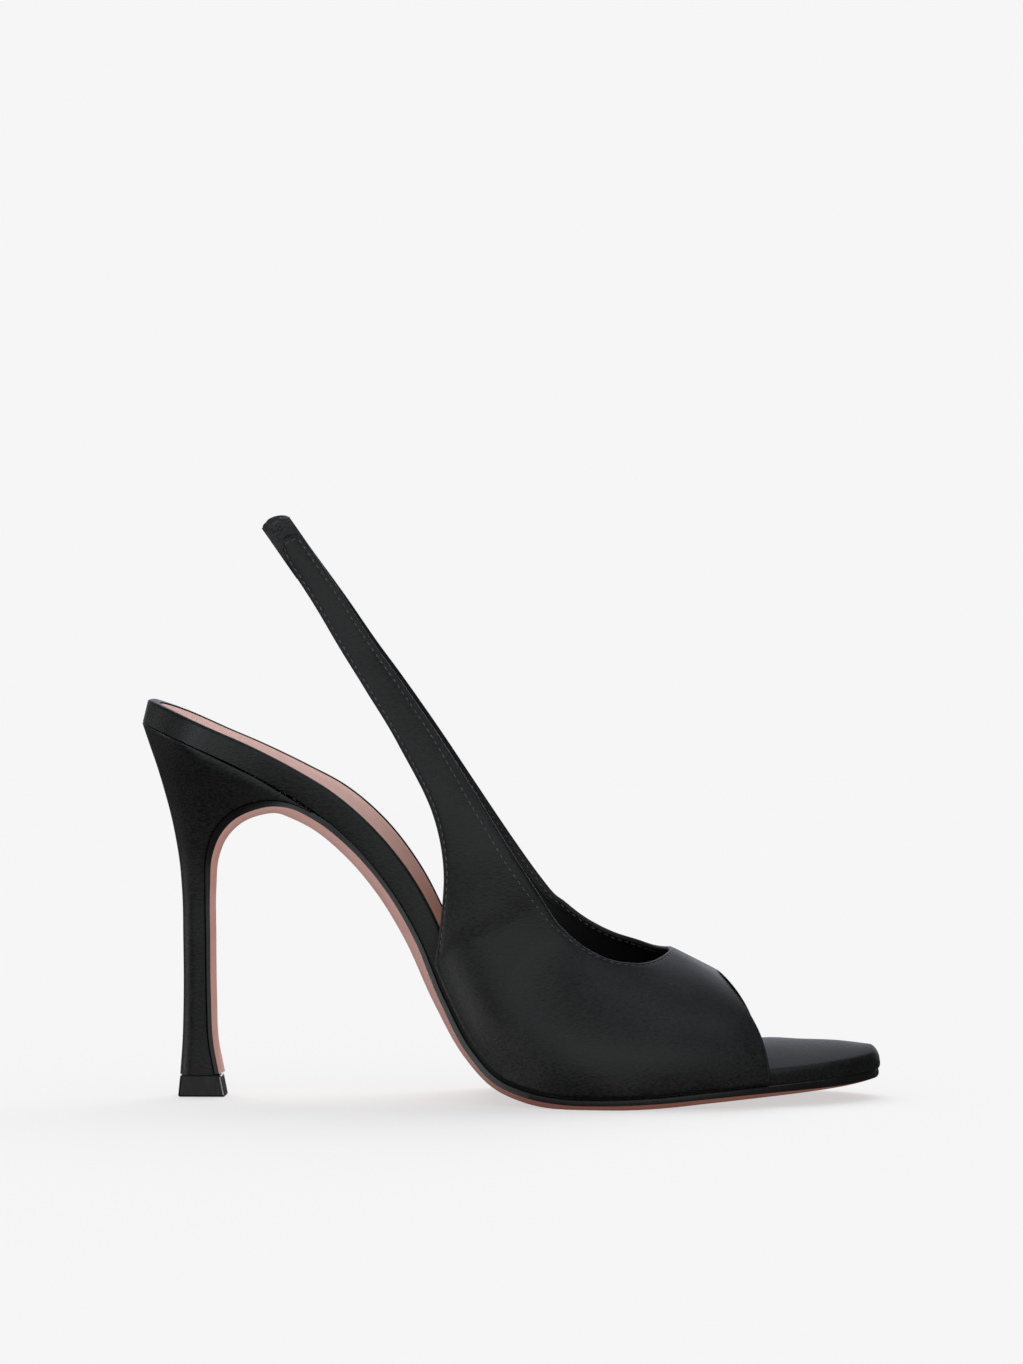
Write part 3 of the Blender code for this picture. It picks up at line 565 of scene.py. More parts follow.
@dataclass(frozen=True)
class Finish:
    """A material: two tones that its effect mixes, its gloss and its relief.

    painted_shade is what the tones are multiplied by at the far end of painted_shade_span, which runs along X
    in
    millimetres: painted shade, where less light reaches the piece. glow is the light that the material gives
    off.
    """

    name: str
    dark: Colour
    light: Colour
    texture: Texture
    size_mm: float
    rough: tuple[float, float]
    relief_mm: float
    coat: float = 0.0
    sheen: float = 0.0
    sheen_rough: float = 0.35
    specular: float = 0.5
    painted_shade: Colour = WHITE
    painted_shade_span: tuple[float, float] = (0.0, 1.0)
    glow: float = 0.0

    def with_painted_shade(self, tree: Tree, place: Socket, colour: Socket) -> Socket:
        """The colour with painted shade: darker towards the far end of painted_shade_span.

        Args:
            tree: the material's nodes.
            place: the place on the piece.
            colour: the colour so far.

        Returns:
            The colour to use.
        """
        axes = tree.nodes.new("ShaderNodeSeparateXYZ")
        tree.links.new(place, axes.inputs[0])
        start, end = (x * MM for x in self.painted_shade_span)
        share = Effects.add(tree, "ShaderNodeMapRange", {
            "Value": axes.outputs["X"], "From Min": start, "From Max": end,
            "interpolation_type": "SMOOTHSTEP"})
        return Effects.mix(tree, share.outputs[0], colour, self.painted_shade, "MULTIPLY")

    def material(self) -> bpy.types.Material:
        """The material, made the first time it is asked for.

        Returns:
            A material with a Principled shader and the finish's effect.
        """
        known = bpy.data.materials.get(self.name)
        if known:
            return known
        material = bpy.data.materials.new(self.name)
        material.use_nodes = True
        tree = material.node_tree
        place = tree.nodes.new("ShaderNodeTexCoord").outputs["Object"]
        effect = Effects.add(tree, "ShaderNodeGroup", {"node_tree": Effects.group(self.texture)})
        Effects.fill(tree, effect, {"Vector": place, "Size": self.size_mm * MM})
        tone = effect.outputs["Tone"]
        colour = Effects.mix(tree, tone, self.dark, self.light)
        # painted shade: the tones darken along X for the finishes that have it
        if self.painted_shade != WHITE:
            colour = self.with_painted_shade(tree, place, colour)
        low, high = self.rough
        gloss = Effects.add(tree, "ShaderNodeMapRange", {"Value": tone, "To Min": low, "To Max": high})
        relief = {"Height": effect.outputs["Height"], "Distance": self.relief_mm * MM}
        bump = Effects.add(tree, "ShaderNodeBump", relief)
        Effects.fill(tree, tree.nodes["Principled BSDF"], {
            "Base Color": colour, "Roughness": gloss.outputs[0], "Normal": bump.outputs[0],
            "Specular IOR Level": self.specular, "Coat Weight": self.coat, "Sheen Weight": self.sheen,
            "Sheen Roughness": self.sheen_rough, "Emission Color": WHITE + (1.0,),
            "Emission Strength": self.glow})
        return material


SATIN = Finish("black_satin", (0.002, 0.0023, 0.0021), (0.0125, 0.0135, 0.0127), Texture.FLOATS, 0.5,
               (0.46, 0.58), 0.08, sheen=0.015, specular=0.06)
LINING = Finish("black_lining", (0.002, 0.002, 0.0018), (0.004, 0.004, 0.0036), Texture.GRAIN, 0.5,
                (0.6, 0.75), 0.03, specular=0.08)
# painted shade: the sock darkens from the waist towards the vamp, where the upper keeps the light off
SOCK_LEATHER = Finish("pink_sock_leather", (0.45, 0.278, 0.24), (0.545, 0.342, 0.3), Texture.GRAIN,
                      0.45, (0.6, 0.72), 0.02, specular=0.02, painted_shade=(0.62, 0.46, 0.38),
                      painted_shade_span=(-46.0, -18.0))
# painted shade: the sole darkens from the waist towards the ball, where it lies in shadow near the floor
SOLE_LEATHER = Finish("pink_sole_leather", (0.545, 0.312, 0.272), (0.655, 0.396, 0.35), Texture.GRAIN,
                      0.5, (0.36, 0.46), 0.012, coat=0.03, specular=0.12, painted_shade=(0.4, 0.26, 0.22),
                      painted_shade_span=(-24.0, 8.0))
EDGE_PAINT = Finish("black_edge_paint", (0.004, 0.004, 0.004), (0.009, 0.009, 0.009), Texture.POLISH,
                    4.0, (0.36, 0.46), 0.05, specular=0.12)
LIFT_PLASTIC = Finish("black_lift_plastic", (0.006, 0.0065, 0.006), (0.011, 0.0115, 0.011),
                      Texture.POLISH, 3.0, (0.14, 0.26), 0.03, specular=0.22)
ELASTIC_KNIT = Finish("black_elastic_knit", (0.002, 0.0022, 0.002), (0.012, 0.0128, 0.0122), Texture.RIBS,
                      0.4, (0.6, 0.75), 0.14, sheen=0.02, specular=0.15)
THREAD = Finish("black_thread", (0.01, 0.0105, 0.01), (0.03, 0.032, 0.031), Texture.FLOATS, 0.15,
                (0.4, 0.5), 0.02, sheen=0.02, specular=0.25)
FLOOR_PAPER = Finish("pale_floor_paper", (0.295, 0.295, 0.295), (0.305, 0.305, 0.305), Texture.POLISH,
                     900.0, (0.9, 0.95), 0.0, specular=0.0, glow=0.56)


@dataclass
class Board:
    """The insole board in its satin cover, flat below, domed and rounded at the open toe.

    At the tip its height starts at tip_share and is full after tip_round, and its underside starts
    tip_under up and is down after tip_turn. At the heel's end the height loses end_share over
    end_round, and the underside turns up by end_under. lean_rows says, by x, how far the underside
    stands out past the sides. edge_limits hold a rounded edge to shares of the breadth and height.
    """

    last: Last
    sections: int = 150
    top_points: int = 25
    under_points: int = 7
    toe_round: float = 1.3
    edge_round: float = 1.1
    edge_limits: tuple[float, float] = (0.45, 0.6)
    soft_span: tuple[float, float] = (34.0, 60.0)
    edge_steps: int = 8
    tip_round: float = 2.2
    tip_share: float = 0.36
    tip_under: float = 1.7
    tip_turn: float = 0.8
    end_round: float = 1.3
    end_share: float = 0.13
    end_under: float = 0.55
    lean_rows: tuple[Row, ...] = ((-85.0, 0.7), (-77.0, 0.3), (-62.0, -0.9), (-45.0, -0.9), (-28.0, -0.3))
    rim: float = 1.6
    rim_clear: float = 0.2
    bed: float = 0.6
    bed_wall: float = 0.12
    bed_least: float = 0.9

    def edge_at(self, s: float) -> float:
        """Radius of the rounded top edge, a little larger on the padded toe."""
        start, end = self.soft_span
        share = float(smooth_step((s - start) / (end - start)))
        return self.toe_round + (self.edge_round - self.toe_round) * share

    def rounded(self, s: float, side: Side, turned: float) -> list[tuple[float, float]]:
        """One rounded edge of a section, from the side wall up to the top.

        Args:
            s: distance from the toe's tip.
            side: which side of the foot.
            turned: share of the full height at the toe's rounded tip.

        Returns:
            y and height of its points.
        """
        last = self.last
        half = last.half(side, s)
        height = last.top(s, side.value) * turned
        of_half, of_height = self.edge_limits
        bend = min(self.edge_at(s), of_half * half, of_height * height)
        wall = height - bend
        points = []
        for turn in np.linspace(0.0, math.pi / 2, self.edge_steps):
            out = half - bend + bend * math.cos(turn)
            top = last.top(s, side.value * out / max(half, TINY)) * turned
            points.append((last.foot.at("swing", s) + side.value * out, wall + (top - wall) * math.sin(turn)))
        return points

    def section(self, s: float) -> np.ndarray:
        """One section of the board, square to the foot line.

        Args:
            s: distance from the toe's tip.

        Returns:
            The ring of points.
        """
        last = self.last
        left = last.foot.length - s
        turned = self.tip_share + (1.0 - self.tip_share) * opened(s, self.tip_round, 2.0)
        turned *= 1.0 - self.end_share * (1.0 - opened(left, self.end_round, 2.0))
        under = last.gap / 2 + self.tip_under * (1.0 - opened(s, self.tip_turn, 2.0))
        under += self.end_under * (1.0 - opened(left, self.end_under, 2.0))
        lean = float(np.interp(last.foot.at("x", s), *zip(*self.lean_rows)))
        y = last.across(s)
        ring = [(y(f) + lean * f, under) for f in np.linspace(-1.0, 1.0, self.under_points)]
        ring += self.rounded(s, Side.INNER, turned)
        share = last.within(s, max(self.rim, self.edge_at(s) + self.rim_clear), last.bed_end[1])
        foot = max(share - self.bed_wall / max(last.half(Side.INNER, s), TINY), self.bed_least * share)
        sunk = self.bed * last.bed_share(s)
        ring.append((y(share), last.top(s, share) * turned))
        ring += [(y(f), last.top(s, f) * turned - sunk) for f in np.linspace(foot, -foot, self.top_points)]
        ring.append((y(-share), last.top(s, -share) * turned))
        ring += self.rounded(s, Side.OUTER, turned)[::-1]
        return last.place(s, ring)

    def build(self) -> Piece:
        """Make and dress the board."""
        rings = np.array([self.section(s) for s in self.last.stations(self.sections)])
        return Bench.dress(Bench.loft("board_cover", rings), [SATIN], "satin", ["insole_board"])


@dataclass
class Sock:
    """The leather sock, laid on the board from under the vamp to the heel's end.

    rim_rows gives its soft cut edge, by share of the breadth and of the thickness. lie is the height of
    its underside over the top that the board has beside the bed.
    """

    last: Last
    front_x: float = 38.0
    thickness: float = 0.5
    inset: float = 1.85
    back: float = 3.2
    end_steps: tuple[float, ...] = (1.6, 0.9, 0.45, 0.15, 0.0)
    end_clear: tuple[float, float] = (0.5, 0.2)
    sections: int = 130
    points: int = 25
    crown_share: float = 0.8
    rim_rows: tuple[Row, ...] = ((0.9, 1.0), (0.955, 0.96), (0.99, 0.72))
    lie: float = -0.8

    def section(self, s: float) -> np.ndarray:
        """One section of the sock, with a soft cut edge.

        Args:
            s: distance from the toe's tip.

        Returns:
            The ring of points.
        """
        last = self.last
        y = last.across(s)
        cover = last.within(s, self.inset, self.back)
        low = [(y(f), last.top(s, f) + self.lie) for f in np.linspace(-cover, cover, self.points)]
        rim = [(share * cover, height) for share, height in self.rim_rows]
        crown = self.crown_share * cover
        high = rim[::-1] + [(f, 1.0) for f in np.linspace(crown, -crown, self.points)]
        high += [(-f, height) for f, height in rim]
        ring = low + [(y(f), last.top(s, f) + self.lie + self.thickness * h) for f, h in high]
        return last.place(s, ring)

    def build(self) -> Piece:
        """Make and dress the sock."""
        foot = self.last.foot
        front, back = foot.distance_at_x(self.front_x), foot.length - self.back
        after, before = self.end_clear
        places = [s for s in self.last.stations(self.sections) if front + after < s < back - before]
        places += [front] + [back - distance for distance in self.end_steps]
        rings = np.array([self.section(s) for s in sorted(places)])
        return Bench.dress(Bench.loft("sock_lining", rings), [SOCK_LEATHER], "sock_leather", ["sock"])


@dataclass
class Outsole:
    """The leather outsole: an upright painted edge over a belly that is flat on the floor.

    Its tip stays toe_back behind the board's. The edge starts there at tip_share of its height and is
    full after tip_round, and the paint covers the belly for tip_paint.
    """

    last: Last
    toe_back: float = 0.7
    tip_round: float = 1.3
    tip_share: float = 0.35
    tip_paint: float = 1.6
    sections: int = 130
    waist_clear: float = 0.8
    breast_steps: int = 7
    top_points: int = 7
    top_share: float = 0.8
    belly_points: int = 41
    rim: float = 0.22
    rim_limit: float = 0.3
    top: float = 0.08

    def places(self) -> list[float]:
        """Distances of the sections along the sole line."""
        rows = self.last.sole.knots[self.last.shared_rows - 1:]
        shared = [s + self.toe_back for s in self.last.stations(self.sections)]
        return [s for s in shared if s < rows[0] - self.waist_clear] + list(refine(rows, self.breast_steps))

    def section(self, s: float) -> np.ndarray:
        """One section of the outsole.

        Args:
            s: distance along the sole line.

        Returns:
            The ring of points, no lower than the floor.
        """
        last, sole = self.last, self.last.sole
        from_tip = s - self.toe_back
        toe = opened(from_tip, last.toe_round - self.toe_back, last.toe_point)
        y = spread(sole.at("swing", s), sole.at("outer", s) * toe, sole.at("inner", s) * toe)
        turned = self.tip_share + (1.0 - self.tip_share) * opened(from_tip, self.tip_round, 2.0)
        low = -last.gap / 2 - sole.at("edge", s) * turned
        belly, full = sole.at("belly", s), sole.at("full", s)
        rim = min(self.rim, self.rim_limit * (y(1.0) - y(0.0)))
        ring = [(y(-1.0), self.top - rim), (y(-1.0) + rim, self.top)]
        ring += [(y(f), self.top) for f in np.linspace(-self.top_share, self.top_share, self.top_points)]
        ring += [(y(1.0) - rim, self.top), (y(1.0), self.top - rim)]
        shares = np.sin(np.linspace(1.0, -1.0, self.belly_points) * math.pi / 2)
        ring += [(y(f), low - belly * (1.0 - abs(f) ** full)) for f in shares]
        placed = sole.place(s, ring)
        placed[:, 2] = np.maximum(placed[:, 2], 0.0)
        return placed

    def build(self) -> Piece:
        """Make and dress the outsole: paint on its top and edges, leather on its belly."""
        places = np.array(self.places())
        rings = np.array([self.section(s) for s in places])
        painted = self.top_points + 4       # with the two points of each rim
        tip = int(np.sum(places < self.toe_back + self.tip_paint))
        slots = np.zeros((len(places) - 1, rings.shape[1]), dtype=int)
        slots[tip:, painted:painted + self.belly_points - 1] = 1
        piece = Bench.loft("sole_leather", rings, slots)
        return Bench.dress(piece, [EDGE_PAINT, SOLE_LEATHER], "sole_leather", ["outsole"])


@dataclass
class Heel:
    """The covered heel: from the lift it flares to a seat that follows the board.

    seat_row is its section above the seat: front x and z, half breadth, back x and z. seat_back is the
    back of the sections below that, which lie seat_steps before the breast. seat_round draws the seat's
    edge in, by the distance below it.
    """

    last: Last
    turn: float = 0.9
    turn_limit: float = 0.85
    back_steps: int = 18
    row_steps: int = 6
    seat_row: Row = (-52.4, 83.0, 22.9, -102.2, 107.0)
    seat_back: Row = (-101.45, 103.2)
    seat_steps: tuple[float, ...] = (5.9, 4.4, 2.9, 1.4)
    corner: float = 0.5
    corner_cut: float = 0.3
    rows: int = 90
    fine_steps: int = 40
    seat_top: float = 0.08
    seat_from_x: float = -45.0
    seat_points: int = 120
    seat_clear: float = 0.6
    foot_z: float = 6.02
    seat_round: tuple[Row, ...] = ((0.0, 1.1), (0.06, 0.6), (0.16, 0.28), (0.32, 0.08), (0.6, 0.0))

    def outline(self, back: np.ndarray, front: np.ndarray, half: float) -> np.ndarray:
        """One section of the heel: round behind, straight across the breast.

        Args:
            back: x and z of its back.
            front: x and z of its breast.
            half: half its breadth.

        Returns:
            The ring of points.
        """
        along = front - back
        depth = math.hypot(*along)
        turn = min(self.turn_limit, self.turn * half / depth)
        angles = np.linspace(0.0, math.pi / 2, self.back_steps)
        side = [(turn * (1.0 - math.cos(a)), half * math.sin(a)) for a in angles]
        cut, kept = self.corner / depth, self.corner_cut
        side += [((1.0 + turn) / 2, half), (1.0 - cut, half),
                 (1.0 - kept * cut, half - kept * self.corner), (1.0, half - self.corner)]
        ring = [(share, -y) for share, y in side[::-1]] + side[1:] + [(1.0, 0.0)]
        return np.array([(back[0] + f * along[0], y, back[1] + f * along[1]) for f, y in ring])

    def blank(self) -> np.ndarray:
        """Sections from above the seat down to the lift."""
        sole, breast = self.last.sole, self.last.breast
        rows = sole.knots[self.last.shared_rows:]
        x, z, half, back_x, back_z = self.seat_row
        rings = [self.outline(np.array((back_x, back_z)), np.array((x, z)), half)]
        for before in self.seat_steps:
            base, normal = sole.frame_at(rows[0] - before)
            rings.append(self.outline(np.array(self.seat_back), base + normal * self.last.gap / 2, half))
        for s in refine(rows, self.row_steps):
            base, normal = sole.frame_at(s)
            row = min(s - rows[0], breast.length)
            back = np.array((breast.at("back_x", row), breast.at("back_z", row)))
            front = base + normal * self.last.gap / 2
            rings.append(self.outline(back, front, breast.at("heel_half", row)))
        return np.array(rings)

    def cut_column(self, column: np.ndarray, seat_x: np.ndarray, seat_z: np.ndarray) -> np.ndarray:
        """Cut one upright line of the blank at the seat and space it anew.

        Args:
            column: the line's points, from above the seat to the lift.
            seat_x: x of the board's underside, rising.
            seat_z: its height.

        Returns:
            The line from the seat's rounded edge to the lift.
        """
        fine = np.linspace(0, len(column) - 1, self.fine_steps * len(column))
        line = read_line(fine, np.arange(len(column)), column)
        above = line[:, 2] > np.interp(line[:, 0], seat_x, seat_z)
        line = line[np.argmin(above):] if above[0] else line
        run = run_along(line)
        near = [distance for distance, _ in self.seat_round]
        far = np.linspace(near[-1] + self.seat_clear, run[-1], self.rows - len(near))
        return read_line(np.concatenate((near, far)), run, line)

    def build(self) -> Piece:
        """Make and dress the heel."""
        foot = self.last.foot
        start = foot.distance_at_x(self.seat_from_x)
        seat = [foot.frame_at(s) for s in np.linspace(start, foot.length, self.seat_points)]
        under = np.array([base + normal * self.seat_top for base, normal in seat])[::-1]
        blank = self.blank()
        columns = [self.cut_column(blank[:, i], under[:, 0], under[:, 1]) for i in range(blank.shape[1])]
        rings = np.stack(columns, axis=1)
        rings[-1, :, 2] = self.foot_z
        for ring, (_, inset) in zip(rings, self.seat_round):
            inward = ring.mean(axis=0) - ring
            inward[:, 2] = 0.0
            ring += inset * inward / np.linalg.norm(inward, axis=1, keepdims=True)
        return Bench.dress(Bench.loft("heel_cover", rings), [SATIN], "satin", ["heel"])


@dataclass
class Upper:
    """The vamp with both sling arms, one wall with folded edges, a satin face and a lining.

    u runs from the outer arm's end (0) to the back corner at the sole (1), along the feather line to
    the front corner (2) and round the toe opening to the vamp's middle (3). The inner half mirrors it
    up to FAR_END. bulge is how far a rib stands out of its chord, back and rise how far the inner topline
    lies behind and above the outer one. edge_steps are distances from a rib's ends, of which seam_step
    and binding_step carry the seam and the lining's edge. seam_rows draw them out at the throat. roll
    turns the throat's edge in, pinch draws the quarter in above the sole, and fair smooths the corners.
    """

    last: Last
    wall: float = 1.6
    feather_lift: float = 0.6
    feather_gap: float = 0.4
    arm_end_round: float = 2.0
    arm_end_span: float = 0.06
    rib_lean: float = 0.7
    back_corner_x: float = -21.0
    front_corner_x: float = 70.2
    toe_top: tuple[float, float] = (56.6, 34.4)
    toe_arch: tuple[float, float] = (0.9, 0.92)
    inner_toe_back: float = 1.2
    inner_arm_back: float = 1.1
    inner_arm_fade: float = 0.4
    corner_bend: int = 3
    rib_reach: float = 0.02
    end_places: tuple[float, ...] = (0.0, 0.0007, 0.0022, 0.0057, 0.012, 0.02, 0.03, 0.042, 0.055, 0.06)
    arm_from: float = 0.07
    ribs: tuple[int, int, int] = (80, 56, 40)
    end_wall: tuple[float, float] = (0.0057, 0.15)
    edge_steps: tuple[float, ...] = (0.0, 0.06, 0.22, 0.5, 0.8, 1.05, 1.3, 1.55, 1.9, 2.5, 2.7)
    off_edge: float = 99.0
    seam_step: int = 6
    binding_step: int = 9
    seam_depth: float = 0.16
    seam_width: float = 0.3
    seam_free: float = 0.8
    seam_fade: float = 0.03
    seam_rows: tuple[Row, ...] = (
        (0.0, 1.0), (0.3, 1.0), (0.45, 1.6), (0.6, 2.6), (0.72, 4.0), (0.85, 4.3), (1.0, 2.6), (1.3, 1.1),
        (1.6, 1.0), (6.0, 1.0),
    )
    roll: float = 0.9
    roll_reach: float = 3.0
    roll_span: Span = (0.25, 0.6, 1.1, 1.5)
    pinch: float = 1.2
    pinch_reach: float = 5.0
    pinch_span: Span = (0.93, 1.0, 1.17, 1.42)
    arm_narrow: float = 1.8
    arm_narrow_span: float = 0.05
    lining_step: float = 0.22
    lining_fade: tuple[float, float] = (0.2, 3.0)
    lining_start: int = 3
    body_points: int = 22
    fair_span: Span = (1.4, 1.7, 2.55, 2.85)
    fair_edge: float = 9.0
    fair_passes: int = 150
    throat_rows: tuple[Row, ...] = (
        (0.00, -56.6, 10.8, 153.1, 0.9, 1.1, 0.1),
        (0.15, -46.0, 12.6, 137.7, 0.3, 0.7, 0.2),
        (0.30, -37.4, 15.3, 124.7, 0.2, 0.6, 0.4),
        (0.45, -28.9, 18.5, 113.3, 0.3, 1.1, 0.7),
        (0.60, -17.8, 23.5, 97.7, 0.3, 2.0, 1.3),
        (0.72, -7.6, 28.0, 81.8, 0.4, 2.3, 1.9),
        (0.82, -0.2, 30.1, 69.8, 0.8, 2.1, 2.4),
        (0.90, 5.0, 30.5, 61.6, 1.5, 2.0, 2.9),
        (1.00, 9.9, 29.9, 53.9, 3.2, 1.6, 3.5),
        (1.25, 15.3, 28.8, 47.3, 4.0, 1.0, 4.7),
        (1.50, 21.0, 27.5, 42.5, 3.8, 0.6, 5.1),
        (1.75, 27.5, 25.7, 39.3, 4.6, 0.3, 4.9),
        (2.00, 34.0, 22.6, 38.2, 5.2, 0.0, 3.9),
        (2.25, 38.2, 18.3, 38.5, 2.5, 0.0, 2.4),
        (2.50, 41.0, 13.0, 39.5, 0.8, 0.0, 1.2),
        (2.75, 43.0, 6.7, 40.6, 0.2, 0.0, 0.4),
        (3.00, 43.7, 0.0, 41.1, 0.0, 0.0, 0.0),
    )
    back_rows: tuple[Row, ...] = (
        (0.00, -63.5, 10.8, 149.1),
        (0.15, -53.8, 12.3, 134.8),
        (0.30, -46.2, 14.8, 122.3),
        (0.45, -39.0, 18.0, 110.9),
        (0.60, -30.1, 23.0, 96.5),
        (0.72, -21.0, 27.6, 78.2),
        (0.82, -18.4, 29.2, 63.0),
        (0.90, -19.6, 28.0, 50.0),
        (1.00, -22.0, 25.4, 38.5),
    )

    def __post_init__(self) -> None:
        """Join the outer half's rows with their mirror image, and read the back edge."""
        mirror = [(FAR_END - row[0],) + row[1:] for row in self.throat_rows[-2::-1]]
        self.throat = Table("u x y z bulge back rise", self.throat_rows + tuple(mirror))
        self.back = Table("u x y z", self.back_rows)

    @staticmethod
    def half_place(u: float) -> tuple[float, Side]:
        """Place along one half, 0 to 3, and which half it is."""
        return (u, Side.OUTER) if u <= FAR_END / 2 else (FAR_END - u, Side.INNER)

    def inner_shift(self, place: float) -> float:
        """How far the inner arm's back edge lies behind the outer one's."""
        return self.inner_arm_back * max(0.0, 1.0 - place / self.inner_arm_fade)

    def throat_point(self, u: float) -> np.ndarray:
        """Edge of the throat and of the arms' upper side."""
        _, side = self.half_place(u)
        x, y, z = (self.throat.at(name, u) for name in "xyz")
        if side is Side.INNER:
            x -= self.throat.at("back", u)
            z += self.throat.at("rise", u)
        return np.array((x, side.value * y, z))

    def back_point(self, place: float, side: Side) -> np.ndarray:
        """Back edge of an arm, from its end down to the sole."""
        x, y, z = (self.back.at(name, place) for name in "xyz")
        if side is Side.INNER:
            x -= self.inner_shift(place)
        return np.array((x, side.value * y, z))

    def feather_point(self, x: float, side: Side) -> np.ndarray:
        """Lower edge of the upper, on its outer face, where the foot line passes x."""
        foot = self.last.foot
        s = foot.distance_at_x(x)
        half = self.last.half(side, s) + self.feather_gap + self.wall
        return foot.place(s, [(foot.at("swing", s) + side.value * half, self.feather_lift)])[0]

    def toe_point(self, place: float, side: Side) -> np.ndarray:
        """Edge of the toe opening: an arch from the front corner to the vamp's middle."""
        back = self.inner_toe_back if side is Side.INNER else 0.0
        corner = self.feather_point(self.front_corner_x - back, side)
        turn = (place - 2.0) * math.pi / 2
        x = self.toe_top[0] + (corner[0] - self.toe_top[0]) * math.cos(turn) ** 2
        y = corner[1] * abs(math.cos(turn)) ** self.toe_arch[0]
        z = corner[2] + (self.toe_top[1] - corner[2]) * abs(math.sin(turn)) ** self.toe_arch[1]
        return np.array((x, y, z))

    def outer_point(self, u: float) -> np.ndarray:
        """Outer edge of the upper: back edge, feather line or toe opening."""
        place, side = self.half_place(u)
        if place <= 1.0:
            corner = self.feather_point(self.back_corner_x, side)
            edge = self.back_point(place, side)
            return edge + (corner - self.back_point(1.0, side)) * place ** self.corner_bend
        if place <= 2.0:
            back = self.inner_toe_back if side is Side.INNER else 0.0
            reach = self.front_corner_x - back - self.back_corner_x
            return self.feather_point(self.back_corner_x + reach * (place - 1.0), side)
        return self.toe_point(place, side)

    def rib_frame(self, u: float) -> tuple[np.ndarray, np.ndarray, np.ndarray, np.ndarray]:
        """Both ends of a rib, the way out of the upper there and the way along the upper."""
        start, end = self.throat_point(u), self.outer_point(u)
        before, after = max(u - self.rib_reach, 0.0), min(u + self.rib_reach, FAR_END)
        along = self.throat_point(after) + self.outer_point(after)
        along = along - self.throat_point(before) - self.outer_point(before)
        along /= np.linalg.norm(along)
        out = np.cross(end - start, along)
        return start, end, out / np.linalg.norm(out), along

    def throat_steps(self, u: float) -> np.ndarray:
        """Distances of a rib's first points from the throat, drawn out where the seam lies further in."""
        steps = np.array(self.edge_steps)
        grow = float(np.interp(u, *zip(*self.seam_rows)))
        return np.where(steps > self.seam_free, self.seam_free + (steps - self.seam_free) * grow, steps)

    @staticmethod
    def rib_runs(face: np.ndarray) -> tuple[np.ndarray, np.ndarray]:
        """Distances along each rib, from the throat and from the outer edge."""
        steps = np.linalg.norm(np.diff(face, axis=1), axis=2)
        run = np.concatenate((np.zeros((len(face), 1)), np.cumsum(steps, axis=1)), axis=1)
        return run, run[:, -1:] - run

    def edge_roll(self) -> np.ndarray:
        """How far the outer side's throat edge is rolled in, by rib and by point."""
        run = np.array([self.throat_steps(u) for u in self.u])
        rolled = np.zeros(self.face.shape[:2])
        rolled[:, :run.shape[1]] = np.clip(1.0 - run / self.roll_reach, 0.0, 1.0) ** 2
        return self.roll * pulse(self.u, self.roll_span)[:, None] * rolled

    def waist_pinch(self) -> np.ndarray:
        """How far the face is drawn in above the sole at the waist, by rib and by point."""
        away = self.rib_runs(self.face)[1] / self.pinch_reach
        return self.pinch * pulse(self.place, self.pinch_span)[:, None] * away * np.exp(1.0 - away)

    def rib(self, u: float, out: np.ndarray) -> np.ndarray:
        """One rib of the outer face, from the throat to the outer edge.

        Args:
            u: place along the upper.
            out: the way in which the rib swells.

        Returns:
            The rib's points, close together near both edges.
        """
        start, end, _, along = self.rib_frame(u)
        place, side = self.half_place(u)
        narrow = self.arm_narrow * max(0.0, 1.0 - place / self.arm_narrow_span) ** 2
        length = np.linalg.norm(end - start)
        end = end - (end - start) * narrow / length
        length -= narrow
        far = np.array(self.edge_steps) / length
        near = self.throat_steps(u) / length
        body = np.linspace(near[-1], 1.0 - far[-1], self.body_points + 2)[1:-1]
        v = np.concatenate((near, body, 1.0 - far[::-1]))[:, None]
        past = self.arm_end_round * max(0.0, 1.0 - place / self.arm_end_span)
        arch = np.clip(4.0 * v * (1.0 - v), 0.0, 1.0)
        swell = self.throat.at("bulge", u) * arch * (1.0 + self.rib_lean * (2.0 * v - 1.0))
        return start + (end - start) * v + out * swell + along * side.value * past * np.sqrt(arch)

    def places(self) -> np.ndarray:
        """Places of the ribs, close together at the arms' ends."""
        stretches = zip((self.arm_from, 1.0, 2.0), (1.0, 2.0, 3.0), self.ribs)
        parts = [np.linspace(start, end, count, endpoint=False) for start, end, count in stretches]
        half = np.concatenate([self.end_places] + parts)
        return np.concatenate((half, [FAR_END / 2], FAR_END - half[::-1]))

    @staticmethod
    def outward(face: np.ndarray) -> np.ndarray:
        """Unit normals of a face given by rib and by point along the rib."""
        normals = np.cross(np.gradient(face, axis=1), np.gradient(face, axis=0))
        return normals / np.linalg.norm(normals, axis=2, keepdims=True)

    def corner_reach(self) -> np.ndarray:
        """For each rib, 1 near the front corners and 0 away from them."""
        return pulse(self.place, self.fair_span)

    def blur(self, face: np.ndarray) -> np.ndarray:
        """Each rib's points averaged with those of the ribs beside it, many times over."""
        for _ in range(self.fair_passes):
            mean = face.copy()
            mean[1:-1] = (face[:-2] + 2.0 * face[1:-1] + face[2:]) / 4
            face = mean
        return face

    def fair(self, face: np.ndarray) -> np.ndarray:
        """Smooth the face over the front corners, where the ribs turn from the sole to the toe.

        Args:
            face: points by rib and by point along the rib.

        Returns:
            The face without creases, its edges where they were.
        """
        once = self.blur(face)
        smoothed = 2.0 * once - self.blur(once)
        normals = self.outward(smoothed)
        rise = np.sum((smoothed - face) * normals, axis=2, keepdims=True)
        inside = np.minimum(*self.rib_runs(face))
        hold = self.corner_reach()[:, None] * smooth_step(inside / self.fair_edge)
        return face + normals * rise * hold[:, :, None]

